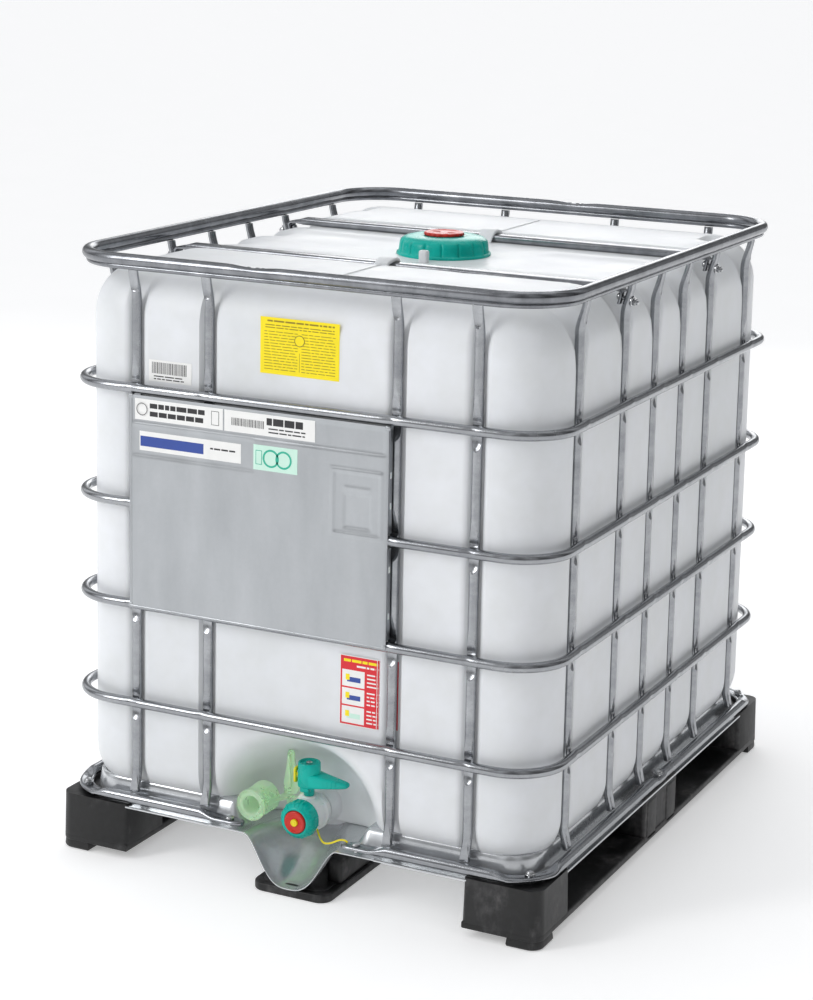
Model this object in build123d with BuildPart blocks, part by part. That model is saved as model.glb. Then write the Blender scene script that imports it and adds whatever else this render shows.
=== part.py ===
"""Intermediate bulk container: blown bottle in a welded tube cage on a tray with three moulded skids.

Millimetres. +X runs along the 1000 mm side with the outlet valve, the valve faces -Y, +Z is up.
The origin is at the middle of the footprint, on the ground.
"""

import os
from math import atan2, degrees, hypot

from build123d import *

os.makedirs("parts", exist_ok=True)

# ---------------------------------------------------------------- overall
WIDTH = 1000.0
DEPTH = 1200.0
HEIGHT = 1160.0

# ---------------------------------------------------------------- pallet skids
FOOT_TOP = 110.0
BOARD_LOW, BOARD_HIGH = 16.0, 30.0
SKID_IN = 350.0              # inner edge of an outer skid
SKID_CORNER = 25.0
FOOT_LENGTH = 134.0          # corner foot, along Y
MID_FOOT_HALF = 88.0
MID_FOOT_INSET = 2.0
PAD = 64.0                   # ground pad under a foot
FOOT_WALL = 6.0
FOOT_FLOOR = 36.0
MIDDLE_SKID_HALF = 80.0
MIDDLE_FOOT_HALF = 75.0
MIDDLE_SKID_LENGTH = DEPTH - 4.0

# ---------------------------------------------------------------- tray
SHEET = 2.0
TRAY_FLOOR = FOOT_TOP + SHEET
TRAY_X, TRAY_Y = 498.0, 597.0
TRAY_CORNER = 102.0
BEAD_X, BEAD_Y = 471.0, 569.0
BEAD_CORNER = 92.0
BEAD_TOP = 154.0
BEAD_TAPER = 10.0
RECESS_HALF = 125.0          # gap in the bead in front of the valve
CHUTE_LIP_Y = -599.0
CHUTE_END_Y = -440.0
CHUTE_SHEET = 1.5

# ---------------------------------------------------------------- bottle
BOTTLE_X, BOTTLE_Y = 477.0, 575.0
BOTTLE_LOW = TRAY_FLOOR
BOTTLE_HIGH = 1130.0
BOTTLE_MIDDLE_TOP = 1113.0   # the lower middle of the top, between and under the crossbars
BOTTLE_CORNER = 100.0
BOTTLE_EDGE = 95.0
BOTTLE_WALL = 2.5
CHANNEL_DEPTH = 13.5         # grooves that the cage uprights stand in
CHANNEL_FLOOR_HALF, CHANNEL_MOUTH_HALF = 13.0, 27.0
STEP_HALF = 250.0            # half width along Y of the lower middle of the top
STEP_RUN = 12.0
NECK_R, NECK_BORE_R, NECK_TOP = 75.0, 68.0, 1146.0
NICHE_FACE_R, NICHE_WALL_R, NICHE_WALL_Y = 165.0, 105.0, -465.0

# ---------------------------------------------------------------- cage
TUBE_R, TUBE_WALL = 9.0, 1.2
HOOP_X, HOOP_Y, HOOP_CORNER = 491.0, 589.0, 96.0
HOOP_HEIGHTS = (913.0, 697.0, 504.0, 312.0)
UPRIGHT_IN = 2 * TUBE_R      # an upright's axis lies this far inside a hoop's axis
UPRIGHT_LOW, UPRIGHT_HIGH = 133.0, 1129.5
UPRIGHT_LOW_LEAN, UPRIGHT_HIGH_LEAN = 8.0, 12.0
UPRIGHT_LOW_RUN, UPRIGHT_HIGH_RUN = 32.0, 44.0
FRONT_UPRIGHTS = (-344.0, -190.0, 190.0, 344.0)
REAR_UPRIGHTS = (-342.0, -129.0, 129.0, 342.0)
SIDE_UPRIGHTS = (-441.0, -228.0, -75.0, 75.0, 228.0, 441.0)
RING_R, RING_X, RING_Y, RING_CORNER = 10.0, 490.0, 588.0, 92.0
RING_HEIGHT = TRAY_FLOOR + RING_R
RING_GAP_HALF = 152.0        # the ring's round tube stops here, each side of the chute
RING_LUG = (104.0, 160.0)    # flattened end of the ring, from and to along X
RIM_R, RIM_CORNER = 11.0, 111.0
RIM_X, RIM_Y, RIM_HEIGHT = WIDTH / 2 - RIM_R, DEPTH / 2 - RIM_R, HEIGHT - RIM_R
RIM_BEAD_R, RIM_BEAD_DROP, RIM_BEAD_INSET = 5.5, 13.5, 2.0
RIM_WALL = 1.4

# ---------------------------------------------------------------- crossbars
BAR_Y = 228.0
BAR_WIDTH, BAR_HEIGHT = 30.0, 15.0
BAR_LOW = 1114.0
BAR_FLAT_HALF = 437.0
LUG_THICK = 5.0
BOLT_R = 4.0

# ---------------------------------------------------------------- outlet valve
AXIS_Z = 137.0
BORE_R = 25.0
SPIGOT_R = 31.0
SPIGOT_Y = -498.0            # the bottle's spigot ends here, the valve body starts
BODY_R = 32.0
COLLAR_R = 36.2
THREAD_R = 29.8
THREAD_START_Y, THREAD_END_Y = -546.0, -567.0
THREAD_GAP = 0.9              # between the outlet thread and its cap
STEM_Y = -525.0
STEM_R = 5.0
BODY_TOP = AXIS_Z + 35.0
HUB_R, HUB_LOW, HUB_HIGH = 21.5, 190.0, 237.0
LEVER_REACH = 82.0
RUNNING = 0.05
CLEAR = 0.3
NUT_R = 36.0
NUT_FRONT_Y, NUT_BACK_Y = -578.0, -548.5
DISC_FACE_Y = -581.0

# ---------------------------------------------------------------- fill lid
LID_LOW, LID_HIGH = 1115.0, 1154.0
LID_FLANGE_R, LID_R = 93.0, 89.0
LID_SKIRT_IN = 77.5
GASKET = 3.0
GASKET_INSET = 0.6           # a seal's edge lies this far inside the thread it closes
PLUG_FLANGE_R, PLUG_THREAD_R = 40.0, 29.8
PLUG_BORE_R = 30.2

# ---------------------------------------------------------------- plate and labels
PLATE_LEFT, PLATE_RIGHT = -344.0, 188.0
PLATE_LOW, PLATE_HIGH = 501.0, 903.0
PLATE_Y = -599.5             # front face
PLATE_SHEET = 1.0
LABEL = 0.35


def save(piece, label):
    """Name a finished piece and write it."""
    piece.part.label = label
    export_step(piece.part, f"parts/{label}.step")


def section_plane(x, y, height):
    """The plane across a loop's front side: its x axis points inwards and its y axis up."""
    return Plane(origin=(x, y, height), x_dir=(0, 1, 0), z_dir=(1, 0, 0))


def loop_tube(draw, half_x, half_y, corner, height):
    """A tube round a level rounded rectangle. draw sketches its section, x inwards and y up."""
    with BuildPart() as tube:
        with BuildSketch(section_plane(0, -half_y, height)):
            draw()
        extrude(amount=half_x - corner)
        with BuildSketch(section_plane(half_x - corner, -half_y, height)):
            draw()
        revolve(axis=Axis((half_x - corner, corner - half_y, 0), (0, 0, 1)), revolution_arc=90)
        with BuildSketch(
            Plane(origin=(half_x, corner - half_y, height), x_dir=(-1, 0, 0), z_dir=(0, 1, 0))
        ):
            draw()
        extrude(amount=half_y - corner)
        mirror(about=Plane.YZ)
        mirror(about=Plane.XZ)
    return tube.part


def pipe_section(radius, wall):
    """A function that draws a round pipe's section."""

    def draw():
        Circle(radius)
        Circle(radius - wall, mode=Mode.SUBTRACT)

    return draw


def along_y(x, y, z):
    """A place whose own z axis points to -Y."""
    return Location((x, y, z), (90, 0, 0))


# ================================================================ bottle
def channel_places():
    """Each upright's channel: its place on the outline and the angle that turns -Y outwards."""
    for x in FRONT_UPRIGHTS:
        yield (x, -BOTTLE_Y), 0
    for y in SIDE_UPRIGHTS:
        yield (BOTTLE_X, y), 90
        yield (-BOTTLE_X, y), -90
    for x in REAR_UPRIGHTS:
        yield (x, BOTTLE_Y), 180


def bottle_form(inset):
    """The bottle's solid form, drawn in by inset all round. A negative inset swells it."""
    low, high = BOTTLE_LOW + inset, BOTTLE_HIGH - inset
    step = BOTTLE_MIDDLE_TOP - inset
    half_step = STEP_HALF + inset
    with BuildPart() as form:
        with BuildSketch(Plane.XY.offset(low)):
            RectangleRounded(2 * (BOTTLE_X - inset), 2 * (BOTTLE_Y - inset), BOTTLE_CORNER - inset)
        extrude(amount=high - low)
        levels = form.edges().filter_by(Plane.XY).group_by(Axis.Z)
        fillet(levels[0] + levels[-1], radius=BOTTLE_EDGE - inset)
        # the lower middle of the top
        with BuildSketch(Plane.YZ):
            Polygon(
                (-half_step, step),
                (half_step, step),
                (half_step + 2 * STEP_RUN, step + 3 * STEP_RUN),
                (-half_step - 2 * STEP_RUN, step + 3 * STEP_RUN),
                align=None,
            )
        extrude(amount=WIDTH, both=True, mode=Mode.SUBTRACT)
        # upright channels
        with BuildSketch():
            for place, turn in channel_places():
                with Locations(Location((place[0], place[1], 0), (0, 0, turn))):
                    Polygon(
                        (-CHANNEL_FLOOR_HALF - inset, CHANNEL_DEPTH + inset),
                        (CHANNEL_FLOOR_HALF + inset, CHANNEL_DEPTH + inset),
                        (2 * CHANNEL_MOUTH_HALF - CHANNEL_FLOOR_HALF + inset, -CHANNEL_DEPTH + inset),
                        (CHANNEL_FLOOR_HALF - 2 * CHANNEL_MOUTH_HALF - inset, -CHANNEL_DEPTH + inset),
                        align=None,
                    )
        extrude(amount=HEIGHT, mode=Mode.SUBTRACT)
        # valve niche, a cone that opens to the front
        niche_length = NICHE_WALL_Y - inset + BOTTLE_Y + CHANNEL_DEPTH
        mouth_r = NICHE_FACE_R + CHANNEL_DEPTH * (NICHE_FACE_R - NICHE_WALL_R) / (BOTTLE_Y + NICHE_WALL_Y)
        with Locations(along_y(0, NICHE_WALL_Y + inset - (niche_length + 2 * inset) / 2, AXIS_Z)):
            Cone(NICHE_WALL_R + inset, mouth_r + inset, niche_length + 2 * inset, mode=Mode.SUBTRACT)
    return form.part


with BuildPart() as bottle:
    add(bottle_form(0))
    # fill neck
    with BuildSketch(Plane.XY.offset(BOTTLE_MIDDLE_TOP - BOTTLE_WALL)):
        Circle(NECK_R)
    extrude(amount=NECK_TOP - BOTTLE_MIDDLE_TOP + BOTTLE_WALL)
    # outlet spigot, from inside the niche wall to the valve body
    with Locations(along_y(0, (NICHE_WALL_Y + SPIGOT_Y) / 2, AXIS_Z)):
        Cylinder(SPIGOT_R, NICHE_WALL_Y - SPIGOT_Y)
    add(bottle_form(BOTTLE_WALL), mode=Mode.SUBTRACT)
    with Locations((0, 0, NECK_TOP)):
        Cylinder(NECK_BORE_R, 4 * (NECK_TOP - BOTTLE_MIDDLE_TOP), mode=Mode.SUBTRACT)
    with Locations(along_y(0, SPIGOT_Y, AXIS_Z)):
        Cylinder(BORE_R, 3 * (NICHE_WALL_Y - SPIGOT_Y), mode=Mode.SUBTRACT)
save(bottle, "bottle")


# ================================================================ bottle labels
def bottle_label(centre_x, centre_z, width, height):
    """A thin film that follows the front of the bottle."""
    with BuildPart() as film:
        add(bottle_form(-LABEL))
        add(bottle_form(-0.05), mode=Mode.SUBTRACT)
        with Locations((centre_x, -BOTTLE_Y, centre_z)):
            Box(width, 4 * CHANNEL_DEPTH, height, mode=Mode.INTERSECT)
    return film


save(bottle_label(-3, 1018, 159, 102), "yellow_label")
save(bottle_label(150, 407, 126, 131), "red_label")
save(bottle_label(-272, 947, 94, 40), "barcode_label")


# ================================================================ cage
for number, height in enumerate(HOOP_HEIGHTS, start=1):
    with BuildPart() as hoop:
        add(loop_tube(pipe_section(TUBE_R, TUBE_WALL), HOOP_X, HOOP_Y, HOOP_CORNER, height))
    save(hoop, f"hoop_{number}")


def rim_section():
    """The rim's round tube with a smaller bead hanging under it."""
    Circle(RIM_R)
    with Locations((RIM_BEAD_INSET, -RIM_BEAD_DROP)):
        Circle(RIM_BEAD_R)
    Circle(RIM_R - RIM_WALL, mode=Mode.SUBTRACT)
    with Locations((RIM_BEAD_INSET, -RIM_BEAD_DROP)):
        Circle(RIM_BEAD_R - RIM_WALL - 0.3, mode=Mode.SUBTRACT)


with BuildPart() as top_rim:
    add(loop_tube(rim_section, RIM_X, RIM_Y, RIM_CORNER, RIM_HEIGHT))
save(top_rim, "top_rim")


def upright(spot, outward, half_depth, bolted):
    """A tube inside the hoops, with its two ends leaning out to the ring and the rim."""
    inner = half_depth - UPRIGHT_IN
    plane = Plane(origin=spot, x_dir=outward, z_dir=outward.cross(Vector(0, 0, 1)))
    low_slope = UPRIGHT_LOW_LEAN / UPRIGHT_LOW_RUN
    high_slope = UPRIGHT_HIGH_LEAN / UPRIGHT_HIGH_RUN
    spare = 6.0
    start = (inner + UPRIGHT_LOW_LEAN + spare * low_slope, UPRIGHT_LOW - spare)
    with BuildPart() as tube:
        with BuildLine(plane) as path:
            FilletPolyline(
                start,
                (inner, UPRIGHT_LOW + UPRIGHT_LOW_RUN),
                (inner, UPRIGHT_HIGH - UPRIGHT_HIGH_RUN),
                (inner + UPRIGHT_HIGH_LEAN + spare * high_slope, UPRIGHT_HIGH + spare),
                radius=60,
            )
        with BuildSketch(Plane(origin=path.line @ 0, x_dir=plane.z_dir, z_dir=path.line % 0)):
            Circle(TUBE_R)
            Circle(TUBE_R - TUBE_WALL, mode=Mode.SUBTRACT)
        sweep(path=path.line)
        split(bisect_by=Plane.XY.offset(UPRIGHT_LOW), keep=Keep.TOP)
        split(bisect_by=Plane.XY.offset(UPRIGHT_HIGH), keep=Keep.BOTTOM)
        if bolted:
            with Locations(bolt_place(spot.Y, outward.X)):
                Cylinder(BOLT_R + 0.2, 80, mode=Mode.SUBTRACT)
    return tube


BOLT_Z = 1102.0
LEAN_ANGLE = degrees(atan2(UPRIGHT_HIGH_LEAN, UPRIGHT_HIGH_RUN))
LEAN_START_Z = UPRIGHT_HIGH - UPRIGHT_HIGH_RUN
LEAN_STRETCH = hypot(UPRIGHT_HIGH_LEAN, UPRIGHT_HIGH_RUN) / UPRIGHT_HIGH_RUN


def lean_x(height):
    """How far from the middle a side upright's axis is, in its leaning top."""
    return HOOP_X - UPRIGHT_IN + (height - LEAN_START_Z) * UPRIGHT_HIGH_LEAN / UPRIGHT_HIGH_RUN


def bolt_place(y, side):
    """Where a crossbar's bolt crosses its upright, with its own z axis pointing out and down."""
    return Location((side * lean_x(BOLT_Z), y, BOLT_Z), (0, side * (90 + LEAN_ANGLE), 0))


for side_name, outward, half_depth, positions in (
    ("front", Vector(0, -1, 0), HOOP_Y, FRONT_UPRIGHTS),
    ("rear", Vector(0, 1, 0), HOOP_Y, REAR_UPRIGHTS),
    ("left", Vector(-1, 0, 0), HOOP_X, SIDE_UPRIGHTS),
    ("right", Vector(1, 0, 0), HOOP_X, SIDE_UPRIGHTS),
):
    for number, position in enumerate(positions, start=1):
        along = Vector(0, position, 0) if outward.X else Vector(position, 0, 0)
        bolted = bool(outward.X) and abs(position) == BAR_Y
        save(upright(along, outward, half_depth, bolted), f"upright_{side_name}_{number}")

# ================================================================ crossbars
LUG_LOW, LUG_TURN, LUG_HIGH = 1094.0, BAR_LOW + 2, BAR_LOW + 2 + LUG_THICK
BAR_PLUG = 10.0              # the tube's end is pinched solid over this length


def lug_x(height):
    """How far from the middle a lug's outer face is, flush with the leaning upright."""
    return lean_x(height) - (TUBE_R + CLEAR) * LEAN_STRETCH


def crossbar(y):
    """A flat tube across the bottle with a flattened lug bent down at each end."""
    with BuildPart() as bar:
        with BuildSketch(Plane.YZ):
            with Locations((y, BAR_LOW + BAR_HEIGHT / 2)):
                RectangleRounded(BAR_WIDTH, BAR_HEIGHT, 5)
                RectangleRounded(BAR_WIDTH - 3, BAR_HEIGHT - 3, 3.5, mode=Mode.SUBTRACT)
        extrude(amount=BAR_FLAT_HALF - BAR_PLUG, both=True)
        for side in (1, -1):
            with BuildSketch(Plane.YZ.offset(side * (BAR_FLAT_HALF - BAR_PLUG))):
                with Locations((y, BAR_LOW + BAR_HEIGHT / 2)):
                    RectangleRounded(BAR_WIDTH, BAR_HEIGHT, 5)
            extrude(amount=side * BAR_PLUG)
            with BuildSketch(Plane.XZ.offset(-y)):
                Polygon(
                    (side * (BAR_FLAT_HALF - 2), LUG_HIGH),
                    (side * (BAR_FLAT_HALF - 2), LUG_TURN),
                    (side * (lug_x(LUG_TURN) - LUG_THICK), LUG_TURN),
                    (side * (lug_x(LUG_LOW) - LUG_THICK), LUG_LOW),
                    (side * lug_x(LUG_LOW), LUG_LOW),
                    (side * lug_x(LUG_HIGH), LUG_HIGH),
                    align=None,
                )
            extrude(amount=BAR_WIDTH / 2, both=True)
            with Locations(bolt_place(y, side)):
                Cylinder(BOLT_R + 0.2, 50, mode=Mode.SUBTRACT)
    return bar


save(crossbar(-BAR_Y), "crossbar_front")
save(crossbar(BAR_Y), "crossbar_rear")

HEAD_R, HEAD_H = 7.0, 5.0
LUG_INSIDE = -(TUBE_R + CLEAR + LUG_THICK)
with BuildPart() as crossbar_fasteners:
    for bar_y in (-BAR_Y, BAR_Y):
        for side in (1, -1):
            place = bolt_place(bar_y, side)
            with Locations(place):
                Cylinder(BOLT_R, TUBE_R + 11, align=(Align.CENTER, Align.CENTER, Align.MIN))
                Cylinder(BOLT_R, -LUG_INSIDE + 3, align=(Align.CENTER, Align.CENTER, Align.MAX))
            with Locations(place * Location((0, 0, LUG_INSIDE - 3))):
                Cylinder(HEAD_R, HEAD_H, align=(Align.CENTER, Align.CENTER, Align.MAX))
            with BuildSketch(Plane(place * Location((0, 0, TUBE_R)))):
                RegularPolygon(HEAD_R, 6)
            extrude(amount=HEAD_H + 1)
save(crossbar_fasteners, "crossbar_fasteners")


# ================================================================ tray
def chute_face(y, grow):
    """A V-shaped section with a round bottom, at one place along the chute."""
    share = (y - CHUTE_LIP_Y) / (CHUTE_END_Y - CHUTE_LIP_Y)
    radius = 32 - 12 * share
    centre = 55 + 29 * share
    half = 90 - 26 * share
    with BuildSketch(Plane.XZ.offset(-y)) as face:
        with Locations((0, centre)):
            Circle(radius + grow)
        with Locations((0, TRAY_FLOOR - SHEET / 2)):
            Rectangle(2 * (half + grow), SHEET)
        make_hull()
    return face.sketch


def chute_form(grow, front, back):
    """The solid that fills the chute, from front to back along Y."""
    with BuildPart() as form:
        add(chute_face(front, grow))
        add(chute_face(back, grow))
        loft()
    return form.part


def bottle_seat(gap):
    """The bottle's rounded lower body, swelled by gap."""
    with BuildPart() as seat:
        with BuildSketch(Plane.XY.offset(BOTTLE_LOW)):
            RectangleRounded(2 * (BOTTLE_X + gap), 2 * (BOTTLE_Y + gap), BOTTLE_CORNER + gap)
        extrude(amount=BOTTLE_EDGE + 2 * SHEET)
        fillet(seat.edges().filter_by(Plane.XY).group_by(Axis.Z)[0], radius=BOTTLE_EDGE)
    return seat.part


def bead_form(inset):
    """The tapered body of the raised bead, drawn in by inset."""
    low = FOOT_TOP if inset else TRAY_FLOOR
    with BuildPart() as form:
        with BuildSketch(Plane.XY.offset(low)):
            RectangleRounded(2 * (BEAD_X - inset), 2 * (BEAD_Y - inset), BEAD_CORNER - inset)
        extrude(amount=BEAD_TOP - inset - low, taper=BEAD_TAPER)
    return form.part


def bead_recess(half):
    """The stretch at the front where the bead is left out, half as wide as stated."""
    with BuildPart() as gap:
        with Locations((0, -BEAD_Y, TRAY_FLOOR)):
            Box(2 * half, 2 * (BEAD_Y - 450), 100, align=(Align.CENTER, Align.CENTER, Align.MIN))
    return gap.part


with BuildPart() as bead_void:
    add(bead_form(SHEET))
    add(bottle_seat(SHEET + 0.8), mode=Mode.SUBTRACT)
    with Locations((0, -BEAD_Y, FOOT_TOP)):
        Box(2 * (RECESS_HALF + SHEET), 300, 100, mode=Mode.SUBTRACT,
            align=(Align.CENTER, Align.CENTER, Align.MIN))

RING_BOLTS = [(x * 462.0, y * 560.0) for x in (1, -1) for y in (1, -1)]
RING_BOLTS += [(x * RING_X, 0.0) for x in (1, -1)]
REAR_BOLTS = [(x * 45.0, RING_Y) for x in (1, -1)]
LUG_BOLTS = [(x * 132.0, -RING_Y) for x in (1, -1)]
RING_BOLT_R = 5.0

with BuildPart() as tray:
    with BuildSketch(Plane.XY.offset(FOOT_TOP)):
        RectangleRounded(2 * TRAY_X, 2 * TRAY_Y, TRAY_CORNER)
    extrude(amount=SHEET)
    add(bead_form(0))
    add(bottle_seat(0.8), mode=Mode.SUBTRACT)
    add(bead_void.part, mode=Mode.SUBTRACT)
    add(bead_recess(RECESS_HALF), mode=Mode.SUBTRACT)
    with BuildSketch(Plane.XY.offset(FOOT_TOP)):
        Rectangle(2 * (BEAD_X - 30), 2 * (BEAD_Y - 30))
    extrude(amount=SHEET)
    add(chute_form(CHUTE_SHEET, CHUTE_LIP_Y, CHUTE_END_Y))
    add(chute_form(0, CHUTE_LIP_Y - 1, CHUTE_END_Y - CHUTE_SHEET), mode=Mode.SUBTRACT)
    with Locations(*[(x, y, FOOT_TOP) for x, y in RING_BOLTS + REAR_BOLTS + LUG_BOLTS]):
        Cylinder(RING_BOLT_R, 4 * SHEET, mode=Mode.SUBTRACT)
save(tray, "tray")

# ================================================================ bottom ring
with BuildPart() as bottom_ring:
    add(loop_tube(pipe_section(RING_R, 1.5), RING_X, RING_Y, RING_CORNER, RING_HEIGHT))
    with Locations((0, -RING_Y, RING_HEIGHT)):
        Box(2 * RING_GAP_HALF, 4 * RING_R, 4 * RING_R, mode=Mode.SUBTRACT)
    # flattened ends each side of the chute
    for side in (1, -1):
        with BuildSketch(Plane.XY.offset(TRAY_FLOOR)):
            with Locations((side * sum(RING_LUG) / 2, -RING_Y)):
                SlotOverall(RING_LUG[1] - RING_LUG[0], 2 * RING_R)
        extrude(amount=RING_R - 1)
    for x, y in RING_BOLTS + REAR_BOLTS + LUG_BOLTS:
        with Locations((x, y, RING_HEIGHT)):
            Cylinder(RING_BOLT_R, 4 * RING_R, mode=Mode.SUBTRACT)
save(bottom_ring, "bottom_ring")


# ================================================================ skids
def outer_skid(side):
    """A side skid: a base board, three hollow feet and their ground pads."""
    centre = side * (SKID_IN + WIDTH / 2) / 2
    strip = WIDTH / 2 - SKID_IN
    corner_y = DEPTH / 2 - FOOT_LENGTH / 2
    foot_x = centre - side * MID_FOOT_INSET / 2
    pad_x = side * (WIDTH / 2 - PAD / 2)
    with BuildPart() as skid:
        with BuildSketch(Plane.XY.offset(BOARD_LOW)):
            RectangleRounded(WIDTH, DEPTH, SKID_CORNER)
            with Locations((centre, 0)):
                Rectangle(strip, DEPTH, mode=Mode.INTERSECT)
        extrude(amount=BOARD_HIGH - BOARD_LOW)
        with BuildSketch(Plane.XY.offset(BOARD_LOW)):
            RectangleRounded(WIDTH, DEPTH, SKID_CORNER)
            with Locations((centre, corner_y), (centre, -corner_y)):
                Rectangle(strip, FOOT_LENGTH, mode=Mode.INTERSECT)
        extrude(amount=FOOT_TOP - BOARD_LOW)
        with BuildSketch(Plane.XY.offset(BOARD_LOW)):
            with Locations((foot_x, 0)):
                Rectangle(strip - MID_FOOT_INSET, 2 * MID_FOOT_HALF)
        extrude(amount=FOOT_TOP - BOARD_LOW)
        # ground pads and the rail between them
        with BuildSketch():
            RectangleRounded(WIDTH, DEPTH, SKID_CORNER)
            with Locations((pad_x, DEPTH / 2 - PAD / 2), (pad_x, -DEPTH / 2 + PAD / 2)):
                Rectangle(PAD, PAD, mode=Mode.INTERSECT)
        extrude(amount=BOARD_LOW)
        with BuildSketch():
            with Locations((centre, 0)):
                RectangleRounded(strip - 70, DEPTH - 170, 12)
        extrude(amount=BOARD_LOW)
        # hollow feet, open under the tray
        with BuildSketch(Plane.XY.offset(FOOT_FLOOR)):
            with Locations((centre, corner_y), (centre, -corner_y)):
                RectangleRounded(strip - 2 * FOOT_WALL, FOOT_LENGTH - 2 * FOOT_WALL, 48)
            with Locations((foot_x, 0)):
                RectangleRounded(strip - MID_FOOT_INSET - 2 * FOOT_WALL, 2 * (MID_FOOT_HALF - FOOT_WALL), 20)
        extrude(amount=FOOT_TOP, mode=Mode.SUBTRACT)
        # screw bosses
        bosses = [(x, y) for x, y in RING_BOLTS if x * side > 0]
        with BuildSketch(Plane.XY.offset(FOOT_FLOOR - 1)):
            with Locations(*bosses):
                Circle(RING_BOLT_R + 8)
            with Locations((centre, 0)):
                Rectangle(strip - 2 * MID_FOOT_INSET, DEPTH, mode=Mode.INTERSECT)
        extrude(amount=FOOT_TOP - FOOT_FLOOR + 1)
        with Locations(*[(x, y, FOOT_TOP) for x, y in bosses]):
            Cylinder(RING_BOLT_R, 90, mode=Mode.SUBTRACT)
    return skid


save(outer_skid(-1), "skid_left")
save(outer_skid(1), "skid_right")

MIDDLE_FEET = ((-540.0, -400.0), (-MID_FOOT_HALF, MID_FOOT_HALF), (466.0, DEPTH / 2 - 2))
with BuildPart() as skid_middle:
    with BuildSketch():
        RectangleRounded(2 * MIDDLE_SKID_HALF, MIDDLE_SKID_LENGTH, 25)
    extrude(amount=BOARD_LOW)
    for low_y, high_y in MIDDLE_FEET:
        with BuildSketch():
            with Locations((0, (low_y + high_y) / 2)):
                RectangleRounded(2 * MIDDLE_FOOT_HALF, high_y - low_y, 20)
        extrude(amount=FOOT_TOP)
        with BuildSketch(Plane.XY.offset(FOOT_FLOOR)):
            with Locations((0, (low_y + high_y) / 2)):
                RectangleRounded(2 * (MIDDLE_FOOT_HALF - FOOT_WALL), high_y - low_y - 2 * FOOT_WALL, 14)
        extrude(amount=FOOT_TOP, mode=Mode.SUBTRACT)
    with BuildSketch(Plane.XY.offset(FOOT_FLOOR - 1)):
        with Locations(*REAR_BOLTS):
            Circle(RING_BOLT_R + 8)
    extrude(amount=FOOT_TOP - FOOT_FLOOR + 1)
    with Locations(*[(x, y, FOOT_TOP) for x, y in REAR_BOLTS]):
        Cylinder(RING_BOLT_R, 90, mode=Mode.SUBTRACT)
    add(chute_form(CHUTE_SHEET + 1, CHUTE_LIP_Y - 10, CHUTE_END_Y + 1), mode=Mode.SUBTRACT)
save(skid_middle, "skid_middle")

with BuildPart() as ring_bolts:
    ring_top = RING_HEIGHT + RING_R
    for x, y in RING_BOLTS + REAR_BOLTS:
        with Locations((x, y, ring_top)):
            Cylinder(RING_BOLT_R, 60, align=(Align.CENTER, Align.CENTER, Align.MAX))
            Cylinder(9, 5, align=(Align.CENTER, Align.CENTER, Align.MIN))
    for x, y in LUG_BOLTS:
        with Locations((x, y, FOOT_TOP - 3)):
            Cylinder(RING_BOLT_R, RING_R + 4, align=(Align.CENTER, Align.CENTER, Align.MIN))
            Cylinder(8, 3, align=(Align.CENTER, Align.CENTER, Align.MIN))
        with Locations((x, y, TRAY_FLOOR + RING_R - 1)):
            Cylinder(8, 3.5, align=(Align.CENTER, Align.CENTER, Align.MIN))
save(ring_bolts, "ring_bolts")

# ================================================================ label plate
with BuildPart() as label_plate:
    plate_x = (PLATE_LEFT + PLATE_RIGHT) / 2
    plate_z = (PLATE_LOW + PLATE_HIGH) / 2
    with Locations((plate_x, PLATE_Y, plate_z)):
        Box(PLATE_RIGHT - PLATE_LEFT, PLATE_SHEET, PLATE_HIGH - PLATE_LOW,
            align=(Align.CENTER, Align.MIN, Align.CENTER))
    for edge_x, align in ((PLATE_LEFT, Align.MIN), (PLATE_RIGHT, Align.MAX)):
        with Locations((edge_x, PLATE_Y, plate_z)):
            Box(PLATE_SHEET, 18, PLATE_HIGH - PLATE_LOW, align=(align, Align.MIN, Align.CENTER))
        with Locations(*[(edge_x, PLATE_Y + PLATE_SHEET, z) for z in HOOP_HEIGHTS[1:3]]):
            Box(4 * PLATE_SHEET, 60, 2 * TUBE_R + 6, mode=Mode.SUBTRACT,
                align=(Align.CENTER, Align.MIN, Align.CENTER))
save(label_plate, "label_plate")

CLIP_HEIGHTS = (815.0, 760.0, 645.0, 560.0)
with BuildPart() as plate_clips:
    for z in CLIP_HEIGHTS:
        with Locations((PLATE_LEFT + PLATE_SHEET, PLATE_Y + 9, z)):
            Box(6, 6, 12, align=(Align.MIN, Align.MIN, Align.CENTER))
    for z in CLIP_HEIGHTS:
        with Locations((PLATE_RIGHT - PLATE_SHEET, PLATE_Y + 9, z)):
            Box(6, 6, 12, align=(Align.MAX, Align.MIN, Align.CENTER))
save(plate_clips, "plate_clips")

PLATE_LABELS = (      # centre x, centre z, width, height
    (-250.0, 872.0, 190.0, 44.0),
    (-54.0, 872.0, 190.0, 38.0),
    (-222.0, 822.0, 210.0, 30.0),
    (-40.0, 800.0, 90.0, 46.0),
)
with BuildPart() as plate_labels:
    for x, z, width, height in PLATE_LABELS:
        with Locations((x, PLATE_Y, z)):
            Box(width, LABEL, height, align=(Align.CENTER, Align.MAX, Align.CENTER))
save(plate_labels, "plate_labels")

# ================================================================ fill lid
NECK_SEAL_TOP = NECK_TOP + GASKET
with BuildPart() as lid_gasket:
    with Locations((0, 0, NECK_TOP)):
        Cylinder(NECK_R - GASKET_INSET, GASKET, align=(Align.CENTER, Align.CENTER, Align.MIN))
        Cylinder(NECK_BORE_R, GASKET, align=(Align.CENTER, Align.CENTER, Align.MIN), mode=Mode.SUBTRACT)
save(lid_gasket, "lid_gasket")

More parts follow.
